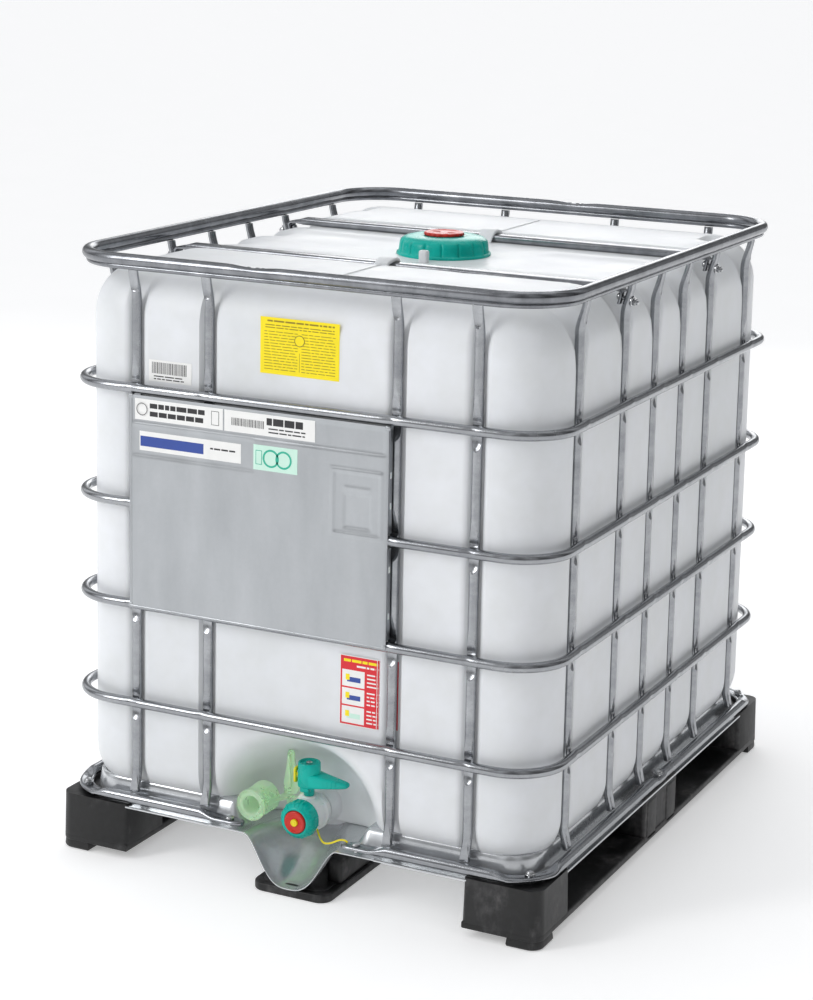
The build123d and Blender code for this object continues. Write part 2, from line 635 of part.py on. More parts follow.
PLUG_SEAT = LID_HIGH - 1.5
with BuildPart() as lid:
    with BuildSketch(Plane.XZ):
        with BuildLine():
            Polyline(
                (PLUG_BORE_R, PLUG_SEAT),
                (PLUG_BORE_R, PLUG_SEAT - 16),
                (PLUG_BORE_R + 4, PLUG_SEAT - 16),
                (PLUG_BORE_R + 4, NECK_SEAL_TOP),
                (LID_SKIRT_IN, NECK_SEAL_TOP),
                (LID_SKIRT_IN, LID_LOW),
                (LID_FLANGE_R, LID_LOW),
                (LID_FLANGE_R, LID_LOW + 6),
                (LID_R, LID_LOW + 8),
                (LID_R - 2, LID_HIGH - 12),
            )
            ThreePointArc(
                (LID_R - 2, LID_HIGH - 12), (LID_R - 6, LID_HIGH - 3.5), (LID_R - 15, LID_HIGH)
            )
            Polyline(
                (LID_R - 15, LID_HIGH),
                (PLUG_FLANGE_R + 2, LID_HIGH),
                (PLUG_FLANGE_R + 1, PLUG_SEAT),
                (PLUG_BORE_R, PLUG_SEAT),
            )
        make_face()
    revolve(axis=Axis.Z)
    # grip ribs
    with BuildSketch(Plane.XY.offset(LID_LOW + 4)):
        with PolarLocations(LID_R - 1, 18):
            RectangleRounded(5, 7, 1.5)
    extrude(amount=LID_HIGH - LID_LOW - 16)
save(lid, "lid")

PLUG_GASKET = 1.5
with BuildPart() as vent_plug_gasket:
    with Locations((0, 0, PLUG_SEAT)):
        Cylinder(PLUG_FLANGE_R - 2, PLUG_GASKET, align=(Align.CENTER, Align.CENTER, Align.MIN))
        Cylinder(PLUG_BORE_R + 0.3, PLUG_GASKET, mode=Mode.SUBTRACT,
                 align=(Align.CENTER, Align.CENTER, Align.MIN))
save(vent_plug_gasket, "vent_plug_gasket")

with BuildPart() as vent_plug:
    plug_low = PLUG_SEAT + PLUG_GASKET
    with Locations((0, 0, plug_low)):
        Cylinder(PLUG_FLANGE_R, HEIGHT - plug_low, align=(Align.CENTER, Align.CENTER, Align.MIN))
        Cylinder(PLUG_THREAD_R, 16, align=(Align.CENTER, Align.CENTER, Align.MAX))
    fillet(vent_plug.edges().group_by(Axis.Z)[-1], radius=2.5)
    # hollow from below
    with Locations((0, 0, plug_low - 16)):
        Cylinder(PLUG_THREAD_R - 3, 18, mode=Mode.SUBTRACT, align=(Align.CENTER, Align.CENTER, Align.MIN))
    # grip flutes round the flange and two key pockets on top
    with BuildSketch(Plane.XY.offset(plug_low)):
        with PolarLocations(PLUG_FLANGE_R + 3, 16):
            Circle(4.5)
    extrude(amount=HEIGHT, mode=Mode.SUBTRACT)
    with BuildSketch(Plane.XY.offset(HEIGHT)):
        with PolarLocations(18, 2):
            SlotCenterToCenter(12, 7)
    extrude(amount=-3, mode=Mode.SUBTRACT)
save(vent_plug, "vent_plug")

# ================================================================ outlet valve
with BuildPart() as valve_body:
    with Locations(along_y(0, SPIGOT_Y, AXIS_Z)):
        Cylinder(BODY_R, SPIGOT_Y - THREAD_START_Y, align=(Align.CENTER, Align.CENTER, Align.MIN))
        Cylinder(THREAD_R, SPIGOT_Y - THREAD_END_Y, align=(Align.CENTER, Align.CENTER, Align.MIN))
    with Locations(along_y(0, SPIGOT_Y - 4, AXIS_Z)):
        Cylinder(COLLAR_R, 10, align=(Align.CENTER, Align.CENTER, Align.MIN))
    # stem bearing above and below the bore
    with Locations((0, STEM_Y, BODY_TOP)):
        Cylinder(12, 2 * (BODY_TOP - AXIS_Z), align=(Align.CENTER, Align.CENTER, Align.MAX))
    with Locations(along_y(0, SPIGOT_Y + 5, AXIS_Z)):
        Cylinder(BORE_R, 100, mode=Mode.SUBTRACT, align=(Align.CENTER, Align.CENTER, Align.MIN))
    with Locations((0, STEM_Y, BODY_TOP + 1)):
        Cylinder(STEM_R + RUNNING, 2 * (BODY_TOP - AXIS_Z) - 3, mode=Mode.SUBTRACT,
                 align=(Align.CENTER, Align.CENTER, Align.MAX))
save(valve_body, "valve_body")

FLAP_R = BORE_R - CLEAR
FLAP_THICK = 6.0
SEAL_IN = FLAP_R - 2.5
STEM_LOW = AXIS_Z - (BODY_TOP - AXIS_Z) + 4.5
with BuildPart() as valve_flap:
    with Locations(along_y(0, STEM_Y, AXIS_Z)):
        Cylinder(SEAL_IN, FLAP_THICK)
    with Locations((0, STEM_Y, AXIS_Z)):
        Cylinder(8, 2 * SEAL_IN - 4)
        Cylinder(STEM_R, 4 * FLAP_R, mode=Mode.SUBTRACT)
save(valve_flap, "valve_flap")

with BuildPart() as flap_seal:
    with Locations(along_y(0, STEM_Y, AXIS_Z)):
        Cylinder(FLAP_R, FLAP_THICK - 1)
        Cylinder(SEAL_IN, FLAP_THICK, mode=Mode.SUBTRACT)
    with Locations((0, STEM_Y, AXIS_Z)):
        Cylinder(STEM_R, 4 * FLAP_R, mode=Mode.SUBTRACT)
save(flap_seal, "flap_seal")

STEM_SEALS = (BODY_TOP - 3.5, BODY_TOP - 7.0)
SEAL_SECTION = 1.0
GROOVE_R = STEM_R - 2 * SEAL_SECTION + 0.03
STEM_HIGH = HUB_HIGH - 8
with BuildPart() as valve_stem:
    with Locations((0, STEM_Y, STEM_LOW)):
        Cylinder(STEM_R, STEM_HIGH - STEM_LOW, align=(Align.CENTER, Align.CENTER, Align.MIN))
    for z in STEM_SEALS:
        with Locations((0, STEM_Y, z)):
            Cylinder(STEM_R + 1, 2.2 * SEAL_SECTION, mode=Mode.SUBTRACT)
            Cylinder(GROOVE_R, 2.2 * SEAL_SECTION)
    with Locations((0, STEM_Y, STEM_HIGH)):
        Cylinder(2.5, 2 * 14, mode=Mode.SUBTRACT)
save(valve_stem, "valve_stem")

with BuildPart() as stem_seals:
    with Locations(*[(0, STEM_Y, z) for z in STEM_SEALS]):
        Torus(STEM_R - SEAL_SECTION + 0.03, SEAL_SECTION)
save(stem_seals, "stem_seals")

with BuildPart() as valve_handle:
    # hub with a dished top and a collar round the stem
    with Locations((0, STEM_Y, HUB_LOW)):
        Cylinder(HUB_R, HUB_HIGH - HUB_LOW, align=(Align.CENTER, Align.CENTER, Align.MIN))
    with Locations((0, STEM_Y, BODY_TOP + CLEAR)):
        Cylinder(10, HUB_LOW - BODY_TOP, align=(Align.CENTER, Align.CENTER, Align.MIN))
    # tapered lever
    with BuildSketch(Plane.XY.offset(HUB_LOW + 1)):
        with Locations((0, STEM_Y)):
            Circle(HUB_R - 1)
        with Locations((LEVER_REACH - 7, STEM_Y)):
            Circle(7)
        make_hull()
    extrude(amount=24)
    with BuildSketch(Plane.XZ.offset(-STEM_Y)):
        Polygon(
            (HUB_R - 2, HUB_LOW + 40),
            (HUB_R - 2, HUB_LOW + 24),
            (LEVER_REACH - 8, HUB_LOW + 17),
            (LEVER_REACH + 4, HUB_LOW + 12),
            (LEVER_REACH + 4, HUB_LOW + 40),
            align=None,
        )
    extrude(amount=60, both=True, mode=Mode.SUBTRACT)
    with Locations((0, STEM_Y, HUB_HIGH)):
        Cylinder(HUB_R - 5, 2 * 4, mode=Mode.SUBTRACT)
        Cylinder(3.2, 2 * 10, mode=Mode.SUBTRACT)
    with Locations((0, STEM_Y, STEM_HIGH)):
        Cylinder(STEM_R, 80, mode=Mode.SUBTRACT, align=(Align.CENTER, Align.CENTER, Align.MAX))
    # slots for the lock clip's prongs
    with Locations((-HUB_R, STEM_Y, HUB_LOW + 22)):
        for y in (-8, 8):
            with Locations((0, y, 0)):
                Box(20, 4, 8, mode=Mode.SUBTRACT)
save(valve_handle, "valve_handle")

with BuildPart() as handle_screw:
    with Locations((0, STEM_Y, HUB_HIGH - 4)):
        Cylinder(6, 3, align=(Align.CENTER, Align.CENTER, Align.MIN))
        Cylinder(2.5, 18, align=(Align.CENTER, Align.CENTER, Align.MAX))
    with BuildSketch(Plane.XY.offset(HUB_HIGH - 1)):
        with Locations((0, STEM_Y)):
            RegularPolygon(3, 6)
    extrude(amount=-2, mode=Mode.SUBTRACT)
save(handle_screw, "handle_screw")

with BuildPart() as lock_clip:
    with Locations((-HUB_R - CLEAR, STEM_Y, HUB_LOW + 20)):
        Box(5, 26, 30, align=(Align.MAX, Align.CENTER, Align.CENTER))
    fillet(lock_clip.edges().filter_by(Axis.X), radius=4)
    with Locations((-HUB_R - 1, STEM_Y, HUB_LOW + 22)):
        for y in (-8, 8):
            with Locations((0, y, 0)):
                Box(9, 3.2, 7.2, align=(Align.MIN, Align.CENTER, Align.CENTER))
    with Locations((-HUB_R - 3, STEM_Y, HUB_LOW + 20)):
        Box(20, 12, 14, mode=Mode.SUBTRACT)
save(lock_clip, "lock_clip")

# ================================================================ outlet cap
OUTLET_GASKET = 2.0
DISC_SEAT_Y = THREAD_END_Y - OUTLET_GASKET
DISC_FLANGE = 3.0
with BuildPart() as outlet_gasket:
    with Locations(along_y(0, THREAD_END_Y, AXIS_Z)):
        Cylinder(THREAD_R - GASKET_INSET, OUTLET_GASKET, align=(Align.CENTER, Align.CENTER, Align.MIN))
        Cylinder(BORE_R, OUTLET_GASKET, mode=Mode.SUBTRACT, align=(Align.CENTER, Align.CENTER, Align.MIN))
save(outlet_gasket, "outlet_gasket")

BOSS_R = 21.5
with BuildPart() as outlet_disc:
    with Locations(along_y(0, DISC_SEAT_Y, AXIS_Z)):
        Cylinder(THREAD_R - GASKET_INSET, DISC_FLANGE, align=(Align.CENTER, Align.CENTER, Align.MIN))
        Cylinder(BOSS_R, DISC_SEAT_Y - DISC_FACE_Y, align=(Align.CENTER, Align.CENTER, Align.MIN))
    fillet(outlet_disc.edges().group_by(Axis.Y)[0], radius=3)
    with Locations(along_y(0, DISC_FACE_Y + 2, AXIS_Z)):
        Cylinder(7, 10, mode=Mode.SUBTRACT, align=(Align.CENTER, Align.CENTER, Align.MIN))
save(outlet_disc, "outlet_disc")

with BuildPart() as seal_button:
    with Locations(along_y(0, DISC_FACE_Y + 2, AXIS_Z)):
        Cylinder(7, 4, align=(Align.CENTER, Align.CENTER, Align.MIN))
    fillet(seal_button.edges().group_by(Axis.Y)[0], radius=1)
save(seal_button, "seal_button")

with BuildPart() as outlet_nut:
    with Locations(along_y(0, NUT_BACK_Y, AXIS_Z)):
        Cylinder(NUT_R - 1.5, NUT_BACK_Y - NUT_FRONT_Y, align=(Align.CENTER, Align.CENTER, Align.MIN))
    chamfer(outlet_nut.edges().group_by(Axis.Y)[0], length=7, length2=9)
    with BuildSketch(Plane.XZ.offset(-NUT_BACK_Y)):
        with Locations((0, AXIS_Z)):
            with PolarLocations(NUT_R - 2.5, 20):
                RectangleRounded(5, 5, 1.2)
    extrude(amount=20)
    with Locations(along_y(0, NUT_BACK_Y + 1, AXIS_Z)):
        Cylinder(THREAD_R + THREAD_GAP, NUT_BACK_Y + 1 - (DISC_SEAT_Y - DISC_FLANGE - CLEAR),
                 mode=Mode.SUBTRACT, align=(Align.CENTER, Align.CENTER, Align.MIN))
        Cylinder(BOSS_R + CLEAR, 60, mode=Mode.SUBTRACT, align=(Align.CENTER, Align.CENTER, Align.MIN))
save(outlet_nut, "outlet_nut")

# ================================================================ valve safeguard
GUARD_X, GUARD_Z, GUARD_R, GUARD_BORE = -92.0, 153.0, 30.0, 17.0
GUARD_FRONT_Y, GUARD_BACK_Y = -580.0, -522.0
with BuildPart() as valve_safeguard:
    # cup
    with Locations(along_y(GUARD_X, GUARD_BACK_Y, GUARD_Z)):
        Cylinder(GUARD_R, GUARD_BACK_Y - GUARD_FRONT_Y, align=(Align.CENTER, Align.CENTER, Align.MIN))
    # hook over the valve body's collar
    with BuildSketch(Plane.XZ.offset(-(SPIGOT_Y - 4))):
        with Locations((0, AXIS_Z)):
            Circle(COLLAR_R + CLEAR + 3)
        with Locations((-62, AXIS_Z)):
            Rectangle(76, 160, mode=Mode.INTERSECT)
        Polygon((-62, 160), (-62, 242), (-46, 242), (-30, 172), (-30, 160), align=None)
        Polygon((-70, 140), (-70, 165), (-30, 165), (-30, 140), align=None)
        Polygon((-56, 140), (-40, 140), (-42, 94), (-50, 88.5), align=None)
        with Locations((0, AXIS_Z)):
            Circle(COLLAR_R + CLEAR, mode=Mode.SUBTRACT)
    extrude(amount=8)
    # web from the hook forward to the cup
    with BuildSketch(Plane.XY.offset(GUARD_Z - 5)):
        Polygon(
            (-70, SPIGOT_Y - 4),
            (-48, SPIGOT_Y - 4),
            (-62, GUARD_BACK_Y - 20),
            (-70, GUARD_BACK_Y - 20),
            align=None,
        )
    extrude(amount=4)
    with Locations(along_y(GUARD_X, GUARD_BACK_Y - 3, GUARD_Z)):
        Cylinder(GUARD_R - 2.5, 52, mode=Mode.SUBTRACT, align=(Align.CENTER, Align.CENTER, Align.MIN))
        Cylinder(GUARD_BORE, 100, mode=Mode.SUBTRACT, align=(Align.CENTER, Align.CENTER, Align.MIN))
save(valve_safeguard, "valve_safeguard")

# ================================================================ seal strap
with BuildPart() as seal_strap:
    with BuildLine() as strap_path:
        FilletPolyline(
            (25.9, -540, 115.9),
            (42, -556, 99),
            (64, -565, 102),
            (102, -578, 127),
            (114, -586, 123.2),
            radius=12,
        )
    with BuildSketch(Plane(origin=strap_path.line @ 0, z_dir=strap_path.line % 0)):
        Circle(1.3)
    sweep(path=strap_path.line)
save(seal_strap, "seal_strap")
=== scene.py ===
"""Visual model of an intermediate bulk container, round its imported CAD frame.

Shapes are worked out in millimetres, in the frame's own axes, and become metres when a mesh is made.
"""

from math import acos, atan2, ceil, cos, exp, hypot, pi, radians, sin, sqrt

import bmesh
import bpy
from mathutils import Matrix, Vector


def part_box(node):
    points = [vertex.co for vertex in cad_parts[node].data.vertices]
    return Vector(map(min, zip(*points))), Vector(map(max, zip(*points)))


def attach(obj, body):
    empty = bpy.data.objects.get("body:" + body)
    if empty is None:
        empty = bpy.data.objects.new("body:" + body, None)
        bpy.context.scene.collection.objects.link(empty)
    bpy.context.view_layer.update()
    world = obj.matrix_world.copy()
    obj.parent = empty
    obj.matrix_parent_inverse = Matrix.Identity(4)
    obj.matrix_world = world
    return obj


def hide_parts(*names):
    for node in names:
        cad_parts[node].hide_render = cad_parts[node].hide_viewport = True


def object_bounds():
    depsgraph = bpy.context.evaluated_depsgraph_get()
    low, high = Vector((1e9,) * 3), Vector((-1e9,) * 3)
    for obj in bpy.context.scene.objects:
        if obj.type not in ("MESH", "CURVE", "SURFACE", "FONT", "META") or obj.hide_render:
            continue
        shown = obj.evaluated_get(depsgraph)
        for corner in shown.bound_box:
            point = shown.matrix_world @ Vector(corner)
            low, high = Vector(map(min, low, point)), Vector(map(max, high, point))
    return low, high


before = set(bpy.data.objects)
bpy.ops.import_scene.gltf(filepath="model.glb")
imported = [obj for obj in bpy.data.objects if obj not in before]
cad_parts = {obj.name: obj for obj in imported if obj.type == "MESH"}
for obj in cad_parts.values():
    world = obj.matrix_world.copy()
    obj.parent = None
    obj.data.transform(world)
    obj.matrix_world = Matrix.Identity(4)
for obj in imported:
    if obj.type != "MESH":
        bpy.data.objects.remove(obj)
cad_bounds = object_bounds()

MM = 0.001


# ---------------------------------------------------------------- places read from the frame
def span(node):
    """Lowest and highest corner of a CAD node, in millimetres."""
    low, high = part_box(node)
    return low / MM, high / MM


def middle(node):
    low, high = span(node)
    return (low + high) / 2


HIGH = Vector(cad_bounds[1]) / MM
HOOPS = [middle(f"hoop_{number}").z for number in (1, 2, 3, 4)]
TUBE_R = (span("hoop_1")[1].z - span("hoop_1")[0].z) / 2
HOOP_X, HOOP_Y = span("hoop_1")[1].x - TUBE_R, span("hoop_1")[1].y - TUBE_R
HOOP_CORNER = 96.0
RING_CORNERS = [(x, y) for x in (-462, 462) for y in (-560, 560)]
UPRIGHTS = [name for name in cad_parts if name.startswith("upright")]
UPRIGHT_LOW, UPRIGHT_HIGH = span("upright_front_1")[0].z, span("upright_front_1")[1].z
FRONT_SPOTS = [middle(n).x for n in UPRIGHTS if "front" in n]
REAR_SPOTS = [middle(n).x for n in UPRIGHTS if "rear" in n]
SIDE_SPOTS = [middle(n).y for n in UPRIGHTS if "right" in n]
TRAY_FLOOR = span("bottle")[0].z
BOTTLE_X, BOTTLE_Y = span("bottle")[1].x, span("bottle")[1].y
BOTTLE_CORNER, BOTTLE_EDGE = 100.0, 92.0
TOP_HIGH, TOP_MIDDLE = 1130.0, 1113.0
NECK_R = 75.0
OUTLET = Vector((0, 0, middle("outlet_gasket").z))
NICHE_WALL_Y = -465.0
STEM = middle("valve_stem")


# ---------------------------------------------------------------- small maths
def ramp(low, high, value):
    """0 up to low, 1 from high, with a smooth rise between. Low may be the larger."""
    share = min(1.0, max(0.0, (value - low) / (high - low)))
    return share * share * (3 - 2 * share)


def mix(a, b, share):
    return a + (b - a) * share


def soft_max(a, b, width):
    """The larger of two numbers, with a round change from one to the other."""
    share = min(1.0, max(0.0, 0.5 + 0.5 * (b - a) / width))
    return mix(a, b, share) + width * share * (1 - share)


def soft_min(a, b, width):
    return -soft_max(-a, -b, width)


def bump(offset, width):
    return exp(-((offset / width) ** 2))


def along(*stops):
    """A function that runs smoothly through (place, value) stops."""

    def value(place):
        if place <= stops[0][0]:
            return stops[0][1]
        for (a, value_a), (b, value_b) in zip(stops, stops[1:]):
            if place <= b:
                return mix(value_a, value_b, ramp(a, b, place))
        return stops[-1][1]

    return value


# ---------------------------------------------------------------- materials
def colour(code):
    """A linear colour from the six hexadecimal digits that screens use."""
    parts = [int(code[i:i + 2], 16) / 255 for i in (0, 2, 4)]
    linear = [p / 12.92 if p <= 0.04045 else ((p + 0.055) / 1.055) ** 2.4 for p in parts]
    return (*linear, 1.0)


class Finish:
    """A material under construction: a Principled shader and short calls that feed it."""

    def __init__(self, name, **values):
        self.material = bpy.data.materials.new(name)
        self.material.use_nodes = True
        self.tree = self.material.node_tree
        self.shader = self.tree.nodes["Principled BSDF"]
        self.where = self.tree.nodes.new("ShaderNodeTexCoord").outputs["Object"]
        for socket, value in values.items():
            self.shader.inputs[socket.replace("_", " ")].default_value = value

    def node(self, kind, **settings):
        made = self.tree.nodes.new(kind)
        for name, value in settings.items():
            setattr(made, name, value)
        return made

    def noise(self, scale, stretch=(1, 1, 1), detail=4.0, rough=0.55):
        """Noise that repeats about scale times in a metre, drawn out by stretch."""
        place = self.node("ShaderNodeMapping")
        place.inputs["Scale"].default_value = stretch
        self.tree.links.new(self.where, place.inputs["Vector"])
        texture = self.node("ShaderNodeTexNoise")
        texture.inputs["Scale"].default_value = scale
        texture.inputs["Detail"].default_value = detail
        texture.inputs["Roughness"].default_value = rough
        self.tree.links.new(place.outputs["Vector"], texture.inputs["Vector"])
        return texture.outputs["Fac"]

    def cells(self, scale):
        """Flat random cells, as in a zinc coating."""
        texture = self.node("ShaderNodeTexVoronoi")
        texture.inputs["Scale"].default_value = scale
        self.tree.links.new(self.where, texture.inputs["Vector"])
        tone = self.node("ShaderNodeSeparateColor")
        self.tree.links.new(texture.outputs["Color"], tone.inputs["Color"])
        return tone.outputs["Red"]

    def stops(self, value, *stops):
        """Colours along a value."""
        band = self.node("ShaderNodeValToRGB")
        elements = band.color_ramp.elements
        while len(elements) < len(stops):
            elements.new(0.5)
        for element, (place, tone) in zip(elements, stops):
            element.position = place
            element.color = tone
        self.tree.links.new(value, band.inputs["Fac"])
        return band.outputs["Color"]

    def blend(self, a, b, share, how="MIX"):
        """Colour a with colour b over it."""
        mixer = self.node("ShaderNodeMix", data_type="RGBA", blend_type=how)
        if isinstance(share, float):
            mixer.inputs["Factor"].default_value = share
        else:
            self.tree.links.new(share, mixer.inputs["Factor"])
        for socket, source in ((mixer.inputs["A"], a), (mixer.inputs["B"], b)):
            self.tree.links.new(source, socket)
        return mixer.outputs["Result"]

    def number(self, value, low, high, out_low, out_high):
        """Value's stretch from low to high, mapped to another."""
        scaled = self.node("ShaderNodeMapRange")
        limits = (("From Min", low), ("From Max", high), ("To Min", out_low), ("To Max", out_high))
        for name, amount in limits:
            scaled.inputs[name].default_value = amount
        self.tree.links.new(value, scaled.inputs["Value"])
        return scaled.outputs["Result"]

    def paint(self, source):
        self.tree.links.new(source, self.shader.inputs["Base Color"])
        return self

    def roughen(self, value, low, high):
        """Roughness from low to high as noise goes from dark to light."""
        self.tree.links.new(self.number(value, 0.3, 0.7, low, high), self.shader.inputs["Roughness"])
        return self

    def relief(self, *layers):
        """Bumps, each a value and its height in millimetres."""
        normal = None
        for value, height in layers:
            node = self.node("ShaderNodeBump")
            node.inputs["Distance"].default_value = height * MM
            self.tree.links.new(value, node.inputs["Height"])
            if normal:
                self.tree.links.new(normal, node.inputs["Normal"])
            normal = node.outputs["Normal"]
        self.tree.links.new(normal, self.shader.inputs["Normal"])
        return self


def zinc(name, light, dark, stretch, spangled=0.25, metal=1.0, rough=0.24):
    """Galvanised steel: a spangled, slightly streaky grey."""
    steel = Finish(name, Metallic=metal)
    streak = steel.noise(9, stretch, detail=6)
    cloud = steel.noise(5, detail=3)
    spangle = steel.cells(140)
    tone = steel.stops(streak, (0.3, colour(dark)), (0.7, colour(light)))
    grain = steel.stops(spangle, (0.0, colour("C8CACC")), (1.0, colour("FFFFFF")))
    steel.paint(steel.blend(tone, grain, spangled, "MULTIPLY"))
    steel.roughen(cloud, rough - 0.05, rough + 0.05)
    steel.relief((steel.noise(60, detail=3), 0.05), (streak, 0.06))
    return steel.material


def moulded(name, tone, deep, rough=0.32, **more):
    """Glossy moulded plastic with faint flow marks."""
    plastic = Finish(name, **more)
    cloud = plastic.noise(22, detail=3)
    fine = plastic.noise(900, detail=2)
    plastic.paint(plastic.stops(cloud, (0.3, colour(deep)), (0.7, colour(tone))))
    plastic.roughen(cloud, rough - 0.06, rough + 0.08)
    plastic.relief((fine, 0.015), (cloud, 0.12))
    return plastic.material


def blown_hdpe():
    """Milky blown polyethylene, a little uneven in thickness, with a faint painted glow that lifts its shade.
    """
    # Faint white emission: a painted glow that lightens the bottle's shaded hollows, such as the valve niche.
    hdpe = Finish("blown_hdpe", Subsurface_Weight=0.25, Subsurface_Scale=0.02, Emission_Strength=0.04)
    hdpe.shader.inputs["Emission Color"].default_value = (1, 1, 1, 1)
    hdpe.shader.inputs["Subsurface Radius"].default_value = (1.0, 1.0, 0.9)
    broad = hdpe.noise(2.2, (1, 1, 0.5), detail=2)
    cloud = hdpe.noise(14, detail=3)
    tone = hdpe.stops(broad, (0.3, colour("DADDE0")), (0.7, colour("E7E9ED")))
    shade = hdpe.stops(cloud, (0.3, colour("F6F6F4")), (0.7, colour("FFFFFF")))
    hdpe.paint(hdpe.blend(tone, shade, 1.0, "MULTIPLY"))
    hdpe.roughen(cloud, 0.34, 0.46)
    hdpe.relief((hdpe.noise(300, detail=2), 0.02), (hdpe.noise(7, detail=2), 1.2))
    return hdpe.material


def recycled_plastic():
    """Nearly black moulded plastic with the mottled flow marks of mixed recyclate; its pale grey patches are
    partly painted sheen.
    """
    black = Finish("recycled_plastic")
    flow = black.noise(11, (1.6, 1.6, 0.7), detail=7, rough=0.62)
    fleck = black.noise(70, detail=4)
    # The two grey stops are partly the recyclate's mottling and partly a painted sheen.
    tone = black.stops(
        flow,
        (0.34, colour("080808")), (0.5, colour("141415")), (0.6, colour("3C3B3C")), (0.74, colour("666361")),
    )
    speck = black.stops(fleck, (0.35, colour("9A9A9A")), (0.6, colour("FFFFFF")))
    black.paint(black.blend(tone, speck, 1.0, "MULTIPLY"))
    black.roughen(flow, 0.34, 0.62)
    black.relief((fleck, 0.25), (flow, 0.8), (black.noise(420, detail=2), 0.05))
    return black.material


def film(name, tone, rough=0.35):
    """Printed label film with a slight cockle."""
    label = Finish(name)
    cloud = label.noise(30, detail=2)
    dim = [part * 0.94 for part in colour(tone)[:3]]
    label.paint(label.stops(cloud, (0.3, (*dim, 1.0)), (0.7, colour(tone))))
    label.roughen(cloud, rough - 0.05, rough + 0.1)
    label.relief((cloud, 0.15))
    return label.material


def safeguard_plastic():
    """Translucent green polyethylene with a faint painted glow."""
    # Pale green emission: a painted glow that makes the cup look lit through.
    green = Finish(
        "safeguard_plastic", Transmission_Weight=0.6, Subsurface_Weight=0.3, Subsurface_Scale=0.01, IOR=1.2,
        Emission_Strength=0.06,
    )
    green.shader.inputs["Emission Color"].default_value = colour("DDF3D9")
    cloud = green.noise(35, detail=4)
    green.paint(green.stops(cloud, (0.3, colour("CDF1C8")), (0.7, colour("E6FAE2"))))
    green.roughen(cloud, 0.22, 0.4)
    green.relief((green.noise(90, detail=3), 0.3))
    return green.material


TUBE = zinc("galvanised_tube", "ACAEB1", "94969A", (0.5, 0.5, 3.0))
RIM = zinc("galvanised_rim", "989A9E", "7A7C80", (3.0, 3.0, 0.6))
SHEET = zinc("galvanised_sheet", "B4B7BA", "A6A9AC", (1.5, 1.5, 0.4), 0.05, rough=0.33)
# The tray's zinc is paler and only partly metallic: painted brightness in place of its reflection of the
# white bottle and the studio.
PRESSED = zinc("pressed_sheet", "D9DBDD", "C2C5C8", (1.5, 1.5, 0.4), 0.15, metal=0.7, rough=0.22)
BRIGHT = zinc("bright_zinc", "D2D3D4", "A9ABAD", (1, 1, 1))
HDPE = blown_hdpe()
BLACK = recycled_plastic()
TEAL = moulded("teal_plastic", "00BDAE", "00A496", 0.26, Specular_IOR_Level=0.3)
RED = moulded("red_plastic", "D42817", "BA1E0F", 0.28)
YELLOW = moulded("yellow_plastic", "F5E31C", "E0CB10", 0.3)
NATURAL = moulded("natural_plastic", "F4F5F4", "E6E8E7", 0.4, Subsurface_Weight=0.2, Subsurface_Scale=0.005)
RUBBER = moulded("seal_rubber", "202020", "131313", 0.5)
GREEN = safeguard_plastic()
YELLOW_FILM = film("yellow_film", "FFE800")
RED_FILM = film("red_film", "E01F2D")
WHITE_FILM = film("white_film", "F4F4F2")
MINT_FILM = film("mint_film", "CFF2E2")
BLUE_INK = film("blue_ink", "2F4C9F")
TEAL_INK = film("teal_ink", "2FB79A")
DARK_INK = film("dark_ink", "2A2A2C")
OCHRE_INK = film("ochre_ink", "9A8510")


# ---------------------------------------------------------------- meshes
def make(name, parts, materials, node=(), body="container", crease=38):
    """A piece from (points, faces) or (points, faces, material number) parts, in millimetres."""
    points, faces, tints = [], [], []
    for part in parts:
        start = len(points)
        points += [Vector(p) * MM for p in part[0]]
        faces += [[start + i for i in face] for face in part[1]]
        tints += [part[2] if len(part) > 2 else 0] * len(part[1])
    mesh = bpy.data.meshes.new(name)
    mesh.from_pydata(points, [], faces)
    for material in materials if isinstance(materials, (list, tuple)) else [materials]:
        mesh.materials.append(material)
    mesh.polygons.foreach_set("material_index", tints)
    work = bmesh.new()
    work.from_mesh(mesh)
    bmesh.ops.recalc_face_normals(work, faces=work.faces)
    work.to_mesh(mesh)
    work.free()
    mesh.polygons.foreach_set("use_smooth", [True] * len(mesh.polygons))
    mesh.set_sharp_from_angle(angle=radians(crease))
    piece = bpy.data.objects.new(name, mesh)
    bpy.context.scene.collection.objects.link(piece)
    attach(piece, body)
    nodes = [node] if isinstance(node, str) else list(node)
    if nodes:
        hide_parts(*nodes)
    return piece


def quads(rows, columns, close_rows=False, close_columns=False):
    """Faces over a grid of points that runs row by row."""
    faces = []
    for row in range(rows if close_rows else rows - 1):
        for column in range(columns if close_columns else columns - 1):
            below = (row + 1) % rows * columns
            beside = (column + 1) % columns
            faces.append((row * columns + column, row * columns + beside, below + beside, below + column))
    return faces


def skin(rings, closed=False, caps=True):
    """A skin over rings of points that all hold the same number."""
    count = len(rings[0])
    points = [point for ring in rings for point in ring]
    faces = quads(len(rings), count, closed, True)
    if caps and not closed:
        faces.append(tuple(range(count)))
        faces.append(tuple(range(len(points) - count, len(points))))
    return points, faces


def sheet(rows, thickness, outward):
    """A grid of points given a thickness against outward(point), closed all round its edge."""
    columns = len(rows[0])
    front = [Vector(p) for row in rows for p in row]
    back = [p - outward(p) * thickness for p in front]
    count = len(front)
    faces = quads(len(rows), columns)
    faces += [tuple(count + i for i in reversed(face)) for face in quads(len(rows), columns)]
    rim = list(range(columns)) + [r * columns + columns - 1 for r in range(1, len(rows))]
    rim += [count - 1 - i for i in range(1, columns)] + [r * columns for r in range(len(rows) - 2, 0, -1)]
    for a, b in zip(rim, rim[1:] + rim[:1]):
        faces.append((a, b, count + b, count + a))
    return front + back, faces


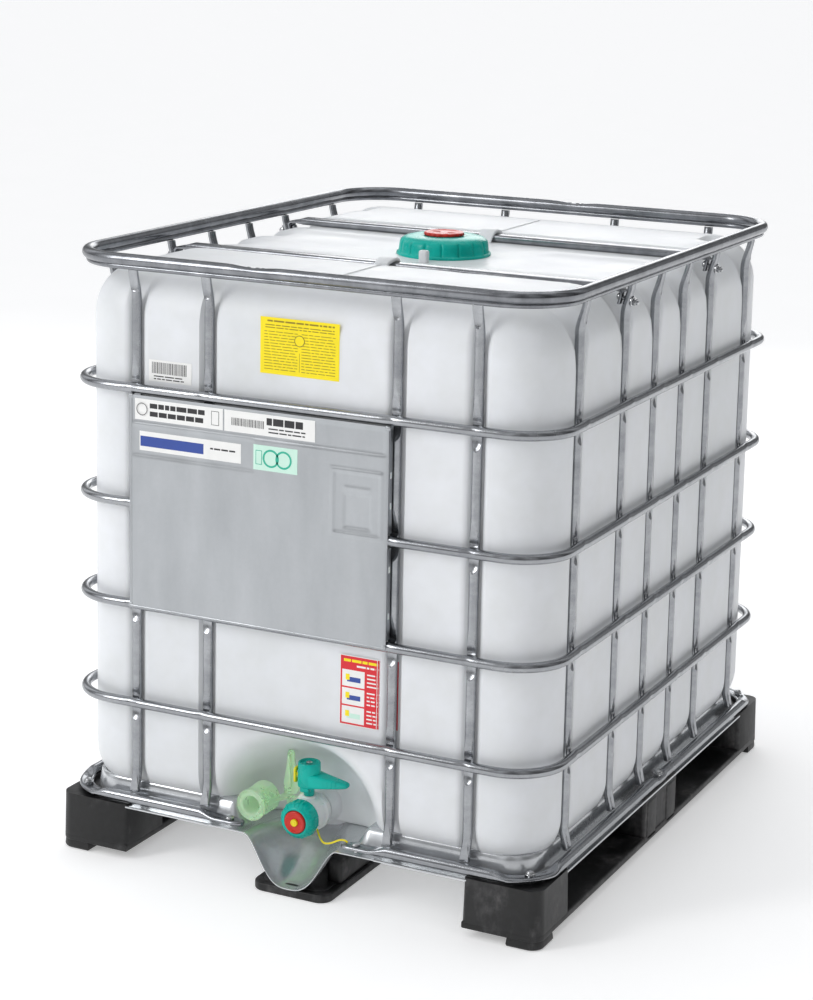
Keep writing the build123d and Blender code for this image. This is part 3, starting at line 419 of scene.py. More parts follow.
def turned(profile, matrix=None, steps=64, flute=None, closed=False):
    """A form turned about z from (radius, height) points. flute(angle, height) adds to the radius."""
    rings = []
    for radius, height in profile:
        ring = []
        for step in range(steps):
            angle = 2 * pi * step / steps
            reach = radius + (flute(angle, radius, height) if flute else 0)
            ring.append(Vector((reach * cos(angle), reach * sin(angle), height)))
        rings.append(ring)
    points, faces = skin(rings, closed)
    if matrix:
        points = [matrix @ p for p in points]
    return points, faces


def facing_front(x, y, z):
    """The placing of a turned form whose own z axis points out of the front, to -Y."""
    return Matrix.Translation((x, y, z)) @ Matrix.Rotation(radians(90), 4, "X")


def block(low, high, bevel, steps=3, matrix=None):
    """A box with rounded edges."""
    work = bmesh.new()
    low, high = Vector(low), Vector(high)
    bmesh.ops.create_cube(work, size=1)
    for vertex in work.verts:
        vertex.co = Vector(mix(low[i], high[i], vertex.co[i] + 0.5) for i in range(3))
    bmesh.ops.bevel(work, geom=work.edges[:], offset=bevel, segments=steps, affect="EDGES", profile=0.5)
    if matrix:
        work.transform(matrix)
    return taken(work)


def level_place(a, b, depth):
    return Vector((a, b, depth))


def slab(outline, plane, near, far, bevel=0.0, steps=3):
    """An outline of (a, b) points pushed from near to far. plane(a, b, depth) gives each point's place."""
    work = bmesh.new()
    corners = [work.verts.new(plane(a, b, near)) for a, b in outline]
    others = [work.verts.new(plane(a, b, far)) for a, b in outline]
    face_a = work.faces.new(corners)
    face_b = work.faces.new(list(reversed(others)))
    for i in range(len(corners)):
        j = (i + 1) % len(corners)
        work.faces.new((corners[i], corners[j], others[j], others[i]))
    bmesh.ops.recalc_face_normals(work, faces=work.faces)
    if bevel:
        rim = list(set(face_a.edges[:] + face_b.edges[:]))
        bmesh.ops.bevel(work, geom=rim, offset=bevel, segments=steps, affect="EDGES", profile=0.5)
    return taken(work)


def taken(work):
    """The points and faces of a bmesh, which is then freed."""
    work.verts.index_update()
    points = [v.co.copy() for v in work.verts]
    faces = [[v.index for v in face.verts] for face in work.faces]
    work.free()
    return points, faces


def rounded(half_a, half_b, corner, centre=(0, 0), steps=6):
    """A rounded rectangle's (a, b) points."""
    points = []
    for quarter, (sign_a, sign_b) in enumerate(((1, -1), (1, 1), (-1, 1), (-1, -1))):
        for step in range(steps + 1):
            angle = radians(90 * quarter - 90 + 90 * step / steps)
            points.append((
                centre[0] + sign_a * (half_a - corner) + corner * cos(angle),
                centre[1] + sign_b * (half_b - corner) + corner * sin(angle),
            ))
    return points


def loop(half_x, half_y, corner, spacing):
    """Places round a level rounded rectangle, from its front left: place and outward direction."""
    places = []
    for quarter in range(4):
        turn = Matrix.Rotation(radians(90 * quarter), 2)
        side, depth = (half_x, half_y) if quarter % 2 == 0 else (half_y, half_x)
        run = side - corner
        count = ceil(2 * run / spacing)
        for step in range(count):
            place = Vector((-run + 2 * run * step / count, -depth))
            places.append((turn @ place, turn @ Vector((0, -1))))
        arcs = max(12, ceil(corner * pi / 2 / spacing))
        for step in range(arcs):
            angle = radians(-90 + 90 * step / arcs)
            out = Vector((cos(angle), sin(angle)))
            places.append((turn @ (Vector((run, corner - depth)) + out * corner), turn @ out))
    return places


def swept_loop(places, height, section):
    """A closed tube along a loop. section(place, out) gives (outwards, up) points."""
    rings = []
    for place, out in places:
        ring = [Vector((*(place + out * a), height + b)) for a, b in section(place, out)]
        rings.append(ring)
    return skin(rings, closed=True)


def circle(radius, count, centre=(0, 0)):
    return [
        (centre[0] + radius * cos(2 * pi * i / count), centre[1] + radius * sin(2 * pi * i / count))
        for i in range(count)
    ]


def to_upright(place, out):
    """How far a place on a loop is from the nearest upright on its own side."""
    if abs(out.x) > abs(out.y):
        return min(abs(place.y - spot) for spot in SIDE_SPOTS)
    spots = FRONT_SPOTS if out.y < 0 else REAR_SPOTS
    return min(abs(place.x - spot) for spot in spots)


# ---------------------------------------------------------------- bottle
def groove(offset, floor, mouth):
    return 1 - ramp(floor, mouth, offset)


def top_height(x, y):
    """The bottle's top: high ends, a lower middle with soft ribs, and a rise to the neck."""
    height = mix(TOP_MIDDLE, TOP_HIGH, ramp(246, 270, abs(y)))
    out = hypot(x, y)
    height += 2.5 * (1 - ramp(88, 135, out))
    reach = ramp(120, 190, abs(x)) * (1 - ramp(350, 430, abs(x)))
    height += 6 * bump(abs(y) - 128, 26) * reach
    height -= 3 * bump(y, 30) * ramp(130, 200, abs(x)) * (1 - ramp(400, 450, abs(x)))
    return height


def niche_y(x, z):
    """The front surface of the valve niche."""
    out = hypot(x, (z - OUTLET.z) * 1.04)
    return NICHE_WALL_Y - (BOTTLE_Y + NICHE_WALL_Y + 22) * ramp(88, 200, out)


def bottle_surface(place, out, inset, height, lean):
    """A point of the bottle: inset from its outline, with the surface leaning back by an angle."""
    offset = to_upright(place, out)
    straight = ramp(0.93, 0.995, max(abs(out.x), abs(out.y)))
    sideways = abs(out.x) > abs(out.y)
    flare = ramp(1005, 1100, height) * sideways
    fade = ramp(50, 140, inset) if sideways else ramp(8, 46, inset)
    depth = (13.0 + 6 * flare) * straight
    depth *= groove(offset, 11 + 2 * flare, 18 + 30 * flare) * (1 - fade)
    level = place - out * (inset + depth * cos(lean))
    x, y = level
    z = height - depth * sin(lean)
    if z > TOP_MIDDLE - 40:
        z = soft_min(z, top_height(x, y) + 0.5, 8)
    if y < 0 and height < 600:
        y = soft_max(y, niche_y(x, z), 40)
    return Vector((x, y, z))


def bottle_rows():
    """(inset, height, lean) down the bottle's side, from the top's edge to the bottom."""
    steps = 16
    low, high = TRAY_FLOOR + BOTTLE_EDGE, TOP_HIGH - BOTTLE_EDGE
    for step in range(steps + 1):
        lean = radians(90 - 90 * step / steps)
        yield BOTTLE_EDGE * (1 - cos(lean)), high + BOTTLE_EDGE * sin(lean), lean
    coarse, fine, change = 26, 16, 330
    for step in range(1, coarse + 1):
        yield 0, mix(high, change, step / coarse), 0
    for step in range(1, fine):
        yield 0, mix(change, low, step / fine), 0
    for step in range(steps + 1):
        lean = radians(90 * step / steps)
        yield BOTTLE_EDGE * (1 - cos(lean)), low - BOTTLE_EDGE * sin(lean), -lean


def build_bottle():
    places = loop(BOTTLE_X, BOTTLE_Y, BOTTLE_CORNER, 6)
    rings = []
    # neck, from inside the bore out and down its thread
    bore = NECK_R - 7
    neck = [(bore, 1085), (bore, 1144), (bore + 1.5, 1146), (NECK_R - 3, 1146), (NECK_R - 2.5, 1144)]
    for turn in range(4):
        z = 1141 - 6 * turn
        neck += [(NECK_R - 2.5, z + 1.5), (NECK_R, z), (NECK_R, z - 1), (NECK_R - 2.5, z - 2.5)]
    neck += [(NECK_R - 2.5, 1119.5), (NECK_R - 1, 1118), (NECK_R + 2, 1116.5)]
    edge = [place - out * BOTTLE_EDGE for place, out in places]
    bearings = [atan2(place.y, place.x) for place in edge]
    for radius, z in neck:
        rings.append([Vector((radius * cos(a), radius * sin(a), z)) for a in bearings])
    # top, from the neck out to its edge
    rows = 46
    start = NECK_R + 5
    for row in range(rows):
        share = (row / rows) ** 0.8
        ring = []
        for place, bearing in zip(edge, bearings):
            inner = Vector((cos(bearing), sin(bearing))) * start
            level = inner.lerp(place, share)
            z = soft_min(TOP_HIGH, top_height(*level) + 0.5, 8)
            ring.append(Vector((*level, z)))
        rings.append(ring)
    for inset, height, lean in bottle_rows():
        rings.append([bottle_surface(place, out, inset, height, lean) for place, out in places])
    for share in (0.6, 0.25):
        rings.append([Vector((*(place * share), TRAY_FLOOR)) for place in edge])
    parts = [skin(rings)]
    # outlet spigot with a flared root
    spigot_end = span("valve_body")[1].y
    parts.append(turned(
        [(25, -8), (25, 30), (50, 30), (58, 14), (50, 6), (41, 3), (36, -2), (34, -10), (34, -20), (31, -24),
         (31, spigot_end - NICHE_WALL_Y + 6), (25, spigot_end - NICHE_WALL_Y + 6)],
        Matrix.Translation((0, NICHE_WALL_Y, OUTLET.z)) @ Matrix.Rotation(radians(-90), 4, "X"),
        closed=True,
    ))
    # lugs that hold the crossbars down, and the stop beside the lid
    for side in (-1, 1):
        path = ((200, 1112), (208, 1124), (217, 1132.5), (228, 1135), (240, 1134), (252, 1131), (262, 1127))
        rings = []
        for y, z in path:
            width = 13 + 5 * bump(y - 228, 26)
            ring = [Vector((a - 5, side * y, z + b)) for a, b in rounded(width, 4, 3.5, steps=4)]
            rings.append(ring)
        parts.append(skin(rings))
    parts.append(block((4, -122, 1110), (22, -108, 1138), 3.5))
    # parting line over the top
    for side in (-1, 1):
        rings = []
        for step in range(28):
            y = side * (100 + 375 * step / 27)
            z = min(top_height(0, y), TOP_HIGH) - 0.6
            rings.append([Vector((a, y, z + b)) for a, b in circle(0.9, 8)])
        parts.append(skin(rings))
    make("bottle_shell", parts, HDPE, "bottle", crease=50)


# ---------------------------------------------------------------- cage
def dent(z):
    """How deep an upright's face is pressed flat at a height."""
    above, below = 58.0, 38.0
    for hoop in HOOPS:
        gap = z - hoop
        if abs(gap) <= TUBE_R:
            return 3.0
        if TUBE_R < gap < above:
            share = (gap - TUBE_R) / (above - TUBE_R)
            return 6.2 * (1 - share) ** 1.4 * ramp(-0.3, 0.15, share)
        if TUBE_R < -gap < below:
            share = (-gap - TUBE_R) / (below - TUBE_R)
            return 6.2 * (1 - share ** 3) * ramp(-0.4, 0.1, share)
    end = UPRIGHT_HIGH - z
    if end < 42:
        return 6.4 * (1 - (end / 42) ** 3)
    start = z - UPRIGHT_LOW
    if start < 40:
        return 5.4 * (1 - start / 40) ** 1.3
    return 0.0


def pressed(depth):
    """An upright's section: a circle with a slightly dished flat of a depth."""
    cut = TUBE_R - max(depth, 0.02)
    edge = acos(cut / TUBE_R)
    half = TUBE_R * sin(edge)
    dish = 0.22 * depth
    ring = []
    for step in range(9):
        b = half * (step / 4 - 1)
        ring.append((cut - dish * (1 - (b / half) ** 2), b))
    for step in range(1, 24):
        angle = mix(edge, 2 * pi - edge, step / 24)
        ring.append((TUBE_R * cos(angle), TUBE_R * sin(angle)))
    return ring


def upright_heights():
    """Ring heights, close together at the dents."""
    heights, z = [], UPRIGHT_LOW
    while z < UPRIGHT_HIGH:
        heights.append(z)
        near = min([abs(z - hoop) for hoop in HOOPS] + [z - UPRIGHT_LOW, UPRIGHT_HIGH - z])
        z += 2.2 if near < 64 else 12.0
    return heights + [UPRIGHT_HIGH]


def build_uprights():
    lean = along(
        (UPRIGHT_LOW - 6, 9.5), (UPRIGHT_LOW + 42, 0.0), (UPRIGHT_HIGH - 56, 0.0), (UPRIGHT_HIGH + 6, 13.5)
    )
    heights = upright_heights()
    for node in UPRIGHTS:
        low, high = span(node)
        centre = (low + high) / 2
        if "front" in node or "rear" in node:
            out = Vector((0, -1 if "front" in node else 1, 0))
            foot = Vector((centre.x, out.y * (HOOP_Y - 2 * TUBE_R), 0))
        else:
            out = Vector((-1 if "left" in node else 1, 0, 0))
            foot = Vector((out.x * (HOOP_X - 2 * TUBE_R), centre.y, 0))
        across = out.cross(Vector((0, 0, 1)))
        rings = []
        for z in heights:
            depth = dent(z)
            wide = 1 + 0.012 * depth
            rings.append([
                foot + out * (a + lean(z)) + across * (b * wide) + Vector((0, 0, z))
                for a, b in pressed(depth)
            ])
        make(f"{node}_tube", [skin(rings)], TUBE, node)


def build_hoops():
    places = loop(HOOP_X, HOOP_Y, HOOP_CORNER, 7)
    for number, height in enumerate(HOOPS, start=1):

        def section(place, out):
            press = bump(to_upright(place, out), 9)
            ring = []
            for a, b in circle(TUBE_R, 20):
                if a > 0:
                    a -= 1.5 * press
                ring.append((a, b * (1 + 0.08 * press)))
            return ring

        node = f"hoop_{number}"
        make(f"{node}_tube", [swept_loop(places, height, section)], TUBE, node)


def build_rim():
    """The stacking rim: a stout tube with a thinner bead rolled under it."""
    radius, bead_r, drop, inset = 11.0, 5.5, 13.5, 2.0
    height = HIGH.z - radius
    places = loop(HIGH.x - radius, HIGH.y - radius, 111, 9)
    seams = (Vector((-85, -HIGH.y)), Vector((35, HIGH.y)))

    def flat(place):
        return max(bump((place - seam).length, 34) for seam in seams)

    def tube(place, out):
        press = flat(place)
        return [
            (a * (1 - 0.06 * press), b - 4.0 * press * max(0.0, b / radius) ** 2)
            for a, b in circle(radius, 22)
        ]

    def bead(place, out):
        return circle(bead_r, 16, (-inset, -drop))

    parts = [swept_loop(places, height, tube), swept_loop(places, height, bead)]
    for seam in seams:
        sign = 1 if seam.y > 0 else -1
        for dx in (-14, 4, 16):
            spot = Matrix.Translation((seam.x + dx, sign * (HIGH.y - radius), HIGH.z - 3.4))
            parts.append(turned([(5.0, -1.5), (4.4, 0.2), (2.6, 0.9), (0.4, 1.1)], spot, steps=14))
    make("top_rim_tube", parts, RIM, "top_rim", crease=50)


def ring_press(place):
    """How much the bottom ring is flattened at a place: at its corners, its middle bolts and its ends."""
    ring_x, ring_y = span("bottom_ring")[1].x - 10, span("bottom_ring")[1].y - 10
    press = max(1 - ramp(38, 66, hypot(place.x - x, place.y - y)) for x, y in RING_CORNERS)
    for x, y in ((-ring_x, 0), (ring_x, 0), (-45, ring_y), (45, ring_y)):
        press = max(press, 0.35 * (1 - ramp(12, 30, hypot(place.x - x, place.y - y))))
    if place.y < 0:
        press = max(press, 1 - ramp(158, 196, abs(place.x)))
    return press


def ring_section(press, radius=10.0):
    """The bottom ring's section: round, or pressed into a shallow spoon that keeps its underside."""
    ring = []
    for a, b in circle(radius, 24):
        a *= 1 + 0.36 * press
        if b > -radius * 0.4:
            flat = -radius + (b + radius) * mix(1, 0.62, press)
            dish = 5.0 * press * max(0.0, 1 - (a / (radius * 0.95)) ** 2)
            b = flat - dish * ramp(-0.4 * radius, 0.5 * radius, b)
        ring.append((a, b))
    return ring


def build_ring():
    low, high = span("bottom_ring")
    radius = 10.0
    places = loop(high.x - radius, high.y - radius, 92, 5)
    gap = 101.0
    places = [(p, out) for p, out in places if not (out.y < -0.99 and abs(p.x) < gap)]
    cut = next(i for i, (p, out) in enumerate(places) if out.y < -0.99 and p.x > 0)
    places = places[cut:] + places[:cut]
    rings = []
    for place, out in places:
        press = ring_press(place)
        section = ring_section(press)
        end = min(1.0, max(0.0, (abs(place.x) - gap) / 22)) if out.y < -0.99 else 1.0
        narrow = sqrt(max(0.06, 1 - (1 - end) ** 2))
        rings.append([
            Vector((*(place + out * (a * narrow)), low.z + radius + b)) for a, b in section
        ])
    make("bottom_ring_tube", [skin(rings)], TUBE, "bottom_ring", crease=60)


def build_crossbars():
    """Flat tubes with rounded edges, whose pinched ends bend down to the bolts."""
    for node in ("crossbar_front", "crossbar_rear"):
        low, high = span(node)
        y, top = (low.y + high.y) / 2, high.z
        half, tall = (high.y - low.y) / 2, 15.0
        reach = high.x
        parts = []
        rings = []
        path = []
        flat = reach - 39
        for side in (-1, 1):
            ends = [
                (flat, top - tall / 2, tall / 2, 0), (flat + 10, top - 8.5, 5.0, 8),
                (flat + 21, top - 9.2, 2.8, 4), (flat + 31, top - 10.5, 2.6, 25),
                (flat + 35, top - 15, 2.6, 72), (flat + 29.6, top - 35, 2.6, 105),
            ]
            order = ends if side > 0 else ends[::-1]
            path += [(side * x, z, thick, side * bend) for x, z, thick, bend in order]
        for x, z, thick, bend in path:
            turn = Matrix.Rotation(radians(bend), 3, "Y")
            corner = min(4.5, thick * 0.8)
            outline = rounded(half, thick, corner, steps=4)
            ring = [Vector((x, y, z)) + turn @ Vector((0, a, b)) for a, b in outline]
            rings.append(ring)
        parts.append(skin(rings))
        make(f"{node}_tube", parts, RIM, node, crease=45)


def hexagon(radius, low, high, dome=0.0):
    """A bolt head or nut with chamfered corners about its own z axis."""
    def flats(angle, reach, height):
        sector = (angle + pi / 6) % (pi / 3) - pi / 6
        return reach * (cos(pi / 6) / cos(sector) - 1) if reach > radius * 0.8 else 0

    profile = [(0.5, low), (radius * 0.96, low), (radius, low + 0.6)]
    profile += [(radius, high - 0.8), (radius * 0.9, high)]
    profile += [(radius * 0.6, high + dome * 0.7), (0.4, high + dome)]
    return profile, flats


def build_fasteners():
    parts = []
    lean = atan2(12, 44)
    bolt_z = middle("crossbar_fasteners").z - 1.5
    x = HOOP_X - 2 * TUBE_R + (bolt_z - UPRIGHT_HIGH + 44) * 12 / 44
    for side in (-1, 1):
        for y in (middle("crossbar_front").y, middle("crossbar_rear").y):
            spot = Matrix.Translation((side * x, y, bolt_z)) @ Matrix.Rotation(side * (pi / 2 + lean), 4, "Y")
            profile, flats = hexagon(6.8, TUBE_R + 1.6, TUBE_R + 7.6, 0.6)
            parts.append(turned(profile, spot, 36, flats))
            parts.append(turned([(0.5, TUBE_R - 2), (9.5, TUBE_R - 2), (10, TUBE_R), (10, TUBE_R + 1.2),
                                 (9, TUBE_R + 1.8), (0.5, TUBE_R + 1.8)], spot, 40))
            shank = [(0.4, 0), (4, 0), (4, TUBE_R + 11), (3.2, TUBE_R + 12), (0.4, TUBE_R + 12)]
            parts.append(turned(shank, spot, 20))
            parts.append(turned([(0.4, -22), (3.5, -21.6), (6.2, -20), (7.2, -17.6), (7.2, -15.2), (4, -14.6),
                                 (4, 0), (0.4, 0)], spot, 32))
    make("crossbar_bolts", parts, BRIGHT, "crossbar_fasteners")

    parts = []
    top = span("bottom_ring")[1].z
    ring_x, ring_y = span("bottom_ring")[1].x - 10, span("bottom_ring")[1].y - 10
    corners = [(x, y, top - 7.5) for x, y in RING_CORNERS]
    sides = [(x, y, top - 0.5) for x, y in ((-ring_x, 0), (ring_x, 0), (-45, ring_y), (45, ring_y))]
    ends = [(-132, -ring_y, top - 7.5), (132, -ring_y, top - 7.5)]
    for x, y, z in corners + sides:
        spot = Matrix.Translation((x, y, z))
        parts.append(turned([
            (0.5, -16), (5, -16), (5, 0), (9.5, 0), (10, 0.8), (9.6, 1.6),
            (7.8, 1.8), (7.4, 4.4), (5.4, 6.4), (2.6, 7.2), (0.4, 7.4),
        ], spot, 40))
    for x, y, z in ends:
        spot = Matrix.Translation((x, y, z))
        parts.append(turned([
            (0.5, -14), (5, -14), (5, -1), (8.2, -1), (8.4, 0.4), (6.8, 2.4), (3.4, 3.6), (0.4, 3.9),
        ], spot, 36))
    make("ring_screws", parts, BRIGHT, "ring_bolts", crease=50)


# ---------------------------------------------------------------- tray
def chute_drop(x, y):
    """How far the tray dips in front of the valve: a rounded valley that deepens to its lip."""
    back = ramp(-415, -590, y) ** 0.8
    if back <= 0:
        return 0.0
    half = mix(62, 97, ramp(-440, -592, y))
    share = min(1.0, abs(x) / half)
    return 89 * (mix(0.5, 1.0, ramp(-430, -592, y)) * back) * (1 + cos(pi * share ** 1.5)) / 2


def tray_section():
    """(inset, height over the floor) from the tray's edge to the foot of the bottle."""
    flat = [(0, -1.0), (0.4, 0.0), (2, 0.3), (8, 0), (16, 0), (24, 0)]
    rise = [(27, 0.3), (29, 1.5), (30.5, 4), (31.5, 8), (33, 16), (34.6, 25), (36, 33)]
    return flat + rise + [(37.2, 38), (39, 41), (41.5, 42), (44, 40.5)]


def build_tray():
    low, high = span("tray")
    corner = 102.0
    thick = 2.0
    places = loop(high.x, -low.y - 2, corner, 5)
    bead_half = 125.0
    rows = []
    for inset, rise in tray_section():
        row = []
        for place, out in places:
            level = place - out * inset
            height = rise
            if out.y < -0.99:
                keep = ramp(bead_half - 16, bead_half + 18, abs(place.x))
                height *= keep
            row.append(Vector((*level, TRAY_FLOOR + height)))
        rows.append(row)
    columns = len(places)
    points = [p for row in rows for p in row]
    faces = quads(len(rows), columns, False, True)
    # the stretch in front of the valve is the chute's own sheet
    open_half = 172.0
    front = [i for i, (p, out) in enumerate(places) if out.y < -0.99 and abs(p.x) < open_half]
    skip = set(front[:-1])
    faces = [f for f in faces if f[0] % columns not in skip]
    below = [p - Vector((0, 0, thick)) for p in points]
    count = len(points)
    faces += [tuple(count + i for i in reversed(face)) for face in faces]
    last = (len(rows) - 1) * columns
    for i in range(columns):
        if i not in skip:
            j = (i + 1) % columns
            faces += [(i, count + i, count + j, j), (last + j, count + last + j, count + last + i, last + i)]
    parts = [(points + below, faces)]

    # chute sheet
    left, right = places[front[0]][0].x, places[front[-1]][0].x
    edge_y = low.y + 2
    depth_rows = [0, 2.5, 6, 12, 20, 28] + [36 + 8 * i for i in range(17)]
    across = 96
    rows = []
    for depth in depth_rows:
        row = []
        for step in range(across + 1):
            x = mix(left, right, step / across)
            keep = ramp(bead_half - 16, bead_half + 18, abs(x))
            rise = 42 * ramp(27, 40, depth) * keep
            y = edge_y + depth
            lip = 6 * bump(x, 70) * (1 - ramp(0, 26, depth))
            drop = chute_drop(x, y - lip)
            row.append(Vector((x, y - lip, TRAY_FLOOR + rise - drop)))
        rows.append(row)
    parts.append(sheet(rows, thick, lambda p: Vector((0, 0, 1))))
    # floor under the bottle
    floor = [(mix(-440, 440, i / 8), mix(-428, 540, j / 8)) for j in range(9) for i in range(9)]
    grid = [[Vector((x, y, TRAY_FLOOR - 0.2)) for x, y in floor[9 * j:9 * j + 9]] for j in range(9)]
    parts.append(sheet(grid, thick - 0.4, lambda p: Vector((0, 0, 1))))
    make("pressed_tray", parts, PRESSED, "tray", crease=55)


# ---------------------------------------------------------------- skids
def foot(outline_at, low, high, levels=5):
    """A foot: rings of one outline, eased at the bottom. outline_at(inset) gives its points."""
    rings = []
    for inset, z in ((5, low), (1.6, low + 1.6), (0, low + 5)):
        rings.append([Vector((x, y, z)) for x, y in outline_at(inset)])
    for level in range(1, levels + 1):
        share = level / levels
        rings.append([Vector((x, y, mix(low + 5, high, share))) for x, y in outline_at(1.8 * share)])
    return skin(rings)


def outer_foot(side, end):
    inner, length, corner = 350.0, 134.0, 25.0

    def outline(inset):
        arc = []
        centre = Vector((HIGH.x - corner, HIGH.y - corner))
        for step in range(13):
            angle = radians(90 * step / 12)
            arc.append(centre + Vector((cos(angle), sin(angle))) * (corner - inset))
        points = [Vector((HIGH.x - inset, HIGH.y - length + inset + 6)), *arc]
        points += [Vector((inner + inset + 6, HIGH.y - inset)), Vector((inner + inset, HIGH.y - inset - 6))]
        points += [Vector((inner + inset, HIGH.y - length + inset + 6))]
        points += [Vector((inner + inset + 6, HIGH.y - length + inset))]
        points += [Vector((HIGH.x - inset - 6, HIGH.y - length + inset))]
        return [(side * p.x, end * p.y) for p in points]

    return outline


def outer_skid(side, node, board_low, board_high, top):
    inner = 350.0
    parts = [slab(rounded_board(side, inner), level_place, board_low, board_high, 3)]
    for end in (-1, 1):
        parts.append(foot(outer_foot(side, end), board_low, top))
        # ground pad at the outer corner
        corner, pad = 25.0, 64.0

        def pad_outline(inset, side=side, end=end):
            centre_of_arc = Vector((HIGH.x - corner, HIGH.y - corner))
            arc = []
            for step in range(11):
                angle = radians(90 * step / 10)
                arc.append(centre_of_arc + Vector((cos(angle), sin(angle))) * (corner - inset))
            arc += [Vector((HIGH.x - pad + inset, HIGH.y - inset))]
            arc += [Vector((HIGH.x - pad + inset, HIGH.y - pad + inset))]
            arc += [Vector((HIGH.x - inset, HIGH.y - pad + inset))]
            return [(side * p.x, end * p.y) for p in arc]

        parts.append(foot(pad_outline, 0, board_low + 4, levels=2))
    mid_half, mid_inset = 88.0, 2.0
    low_x, high_x = sorted((side * (inner + 2), side * (HIGH.x - mid_inset)))
    parts.append(block((low_x, -mid_half, board_low), (high_x, mid_half, top), 7, 4))
    # bulges on the outer face of the middle foot
    for y in (-52, 52):
        face = side * (HIGH.x - mid_inset)
        low_x, high_x = sorted((face - side * 20, face + side * 2))
        parts.append(block((low_x, y - 26, board_low + 1), (high_x, y + 26, top - 10), 6, 4))
    # stiffening webs between the feet, set back from the outer face
    for y in (-275, 275):
        low_x, high_x = sorted((side * (inner + 18), side * (inner + 30)))
        parts.append(block((low_x, y - 195, board_high - 3), (high_x, y + 195, top - 22), 3))
    low_x, high_x = sorted((side * (inner + 35), side * (HIGH.x - 35)))
    parts.append(block((low_x, -HIGH.y + 85, 0), (high_x, HIGH.y - 85, board_low + 2), 5))
    make(f"{node}_moulding", parts, BLACK, node, crease=45)


def middle_skid(board_low, top):
    high = span("skid_middle")[1]
    parts = [slab(rounded(high.x, high.y, 25), level_place, 0, board_low, 3)]
    outline = rounded(high.x - 14, high.y - 14, 20)
    parts.append(slab(outline, level_place, 10, board_low + 2.5, 2))
    for low_y, high_y in ((-88, 88), (466, high.y)):
        outline = rounded(75, (high_y - low_y) / 2, 20, (0, (low_y + high_y) / 2))
        parts.append(slab(outline, level_place, board_low - 3, top, 4))
    # front foot, split by the chute into two rounded cheeks
    for side in (-1, 1):
        low_x, high_x = sorted((side * 44, side * 75))
        parts.append(block((low_x, -538, board_low - 3), (high_x, -402, 62), 9, 5))
    parts.append(block((-72, -438, board_low - 3), (72, -402, 60), 9, 5))
    make("skid_middle_moulding", parts, BLACK, "skid_middle", crease=45)


def build_skids():
    board_low, board_high, top = 16.0, 30.0, span("skid_right")[1].z
    outer_skid(-1, "skid_left", board_low, board_high, top)
    outer_skid(1, "skid_right", board_low, board_high, top)
    middle_skid(board_low, top)


def rounded_board(side, inner, corner=25.0):
    """Outline of an outer skid's base board."""
    points = []
    for end in (-1, 1):
        arc = []
        for step in range(13):
            angle = radians(90 * step / 12)
            arc.append((HIGH.x - corner + corner * cos(angle), end * (HIGH.y - corner + corner * sin(angle))))
        points += arc[::-1] if end < 0 else arc
        points.append((inner, end * HIGH.y)) if end > 0 else points.insert(0, (inner, end * HIGH.y))
    return [(side * a, b) for a, b in points]


# ---------------------------------------------------------------- label plate
def plate_face(x, z):
    """The front surface of the label plate, pressed with a ledge, a pocket and a frame."""
    low, high = span("label_plate")
    front = low.y
    width, tall = high.x - low.x, high.z - low.z
    shelf = high.z - 52          # ledge under the top row of labels
    pocket = (low.x + 8, low.x + 262, high.z - 112, high.z - 56)
    frame_box = (high.x - 112, high.x - 10, high.z - 205, high.z - 84)
    square = (high.x - 86, high.x - 34, high.z - 190, high.z - 128)

    def inside(x, z, box, edge):
        return min(ramp(box[0] - edge, box[0] + edge, x), ramp(box[1] + edge, box[1] - edge, x),
                   ramp(box[2] - edge, box[2] + edge, z), ramp(box[3] + edge, box[3] - edge, z))

    def relief(x, z):
        depth = 1.6 * ramp(shelf - 2.5, shelf + 2.5, z)
        depth += 1.3 * inside(x, z, pocket, 2.5)
        inner_box = tuple(b + d for b, d in zip(frame_box, (6, -6, 6, -6)))
        rim = inside(x, z, frame_box, 2.5) - inside(x, z, inner_box, 2.5)
        depth += -1.7 * rim
        depth += 1.6 * inside(x, z, square, 2.5)
        depth += -0.9 * bump(z - (square[3] + 10), 3) * inside(x, z, (square[0], square[1], low.z, high.z), 3)
        # shallow bow of the whole sheet
        bow = (1 - (2 * (x - low.x) / width - 1) ** 2) * (1 - (2 * (z - low.z) / tall - 1) ** 2)
        return depth - 0.5 * bow

    edge = min(x - low.x, high.x - x)
    eased = ramp(0, 14, edge) * ramp(0, 10, min(z - low.z, high.z - z))
    return front + 1.4 + relief(x, z) * eased + 1.5 * (1 - ramp(0, 4, edge))


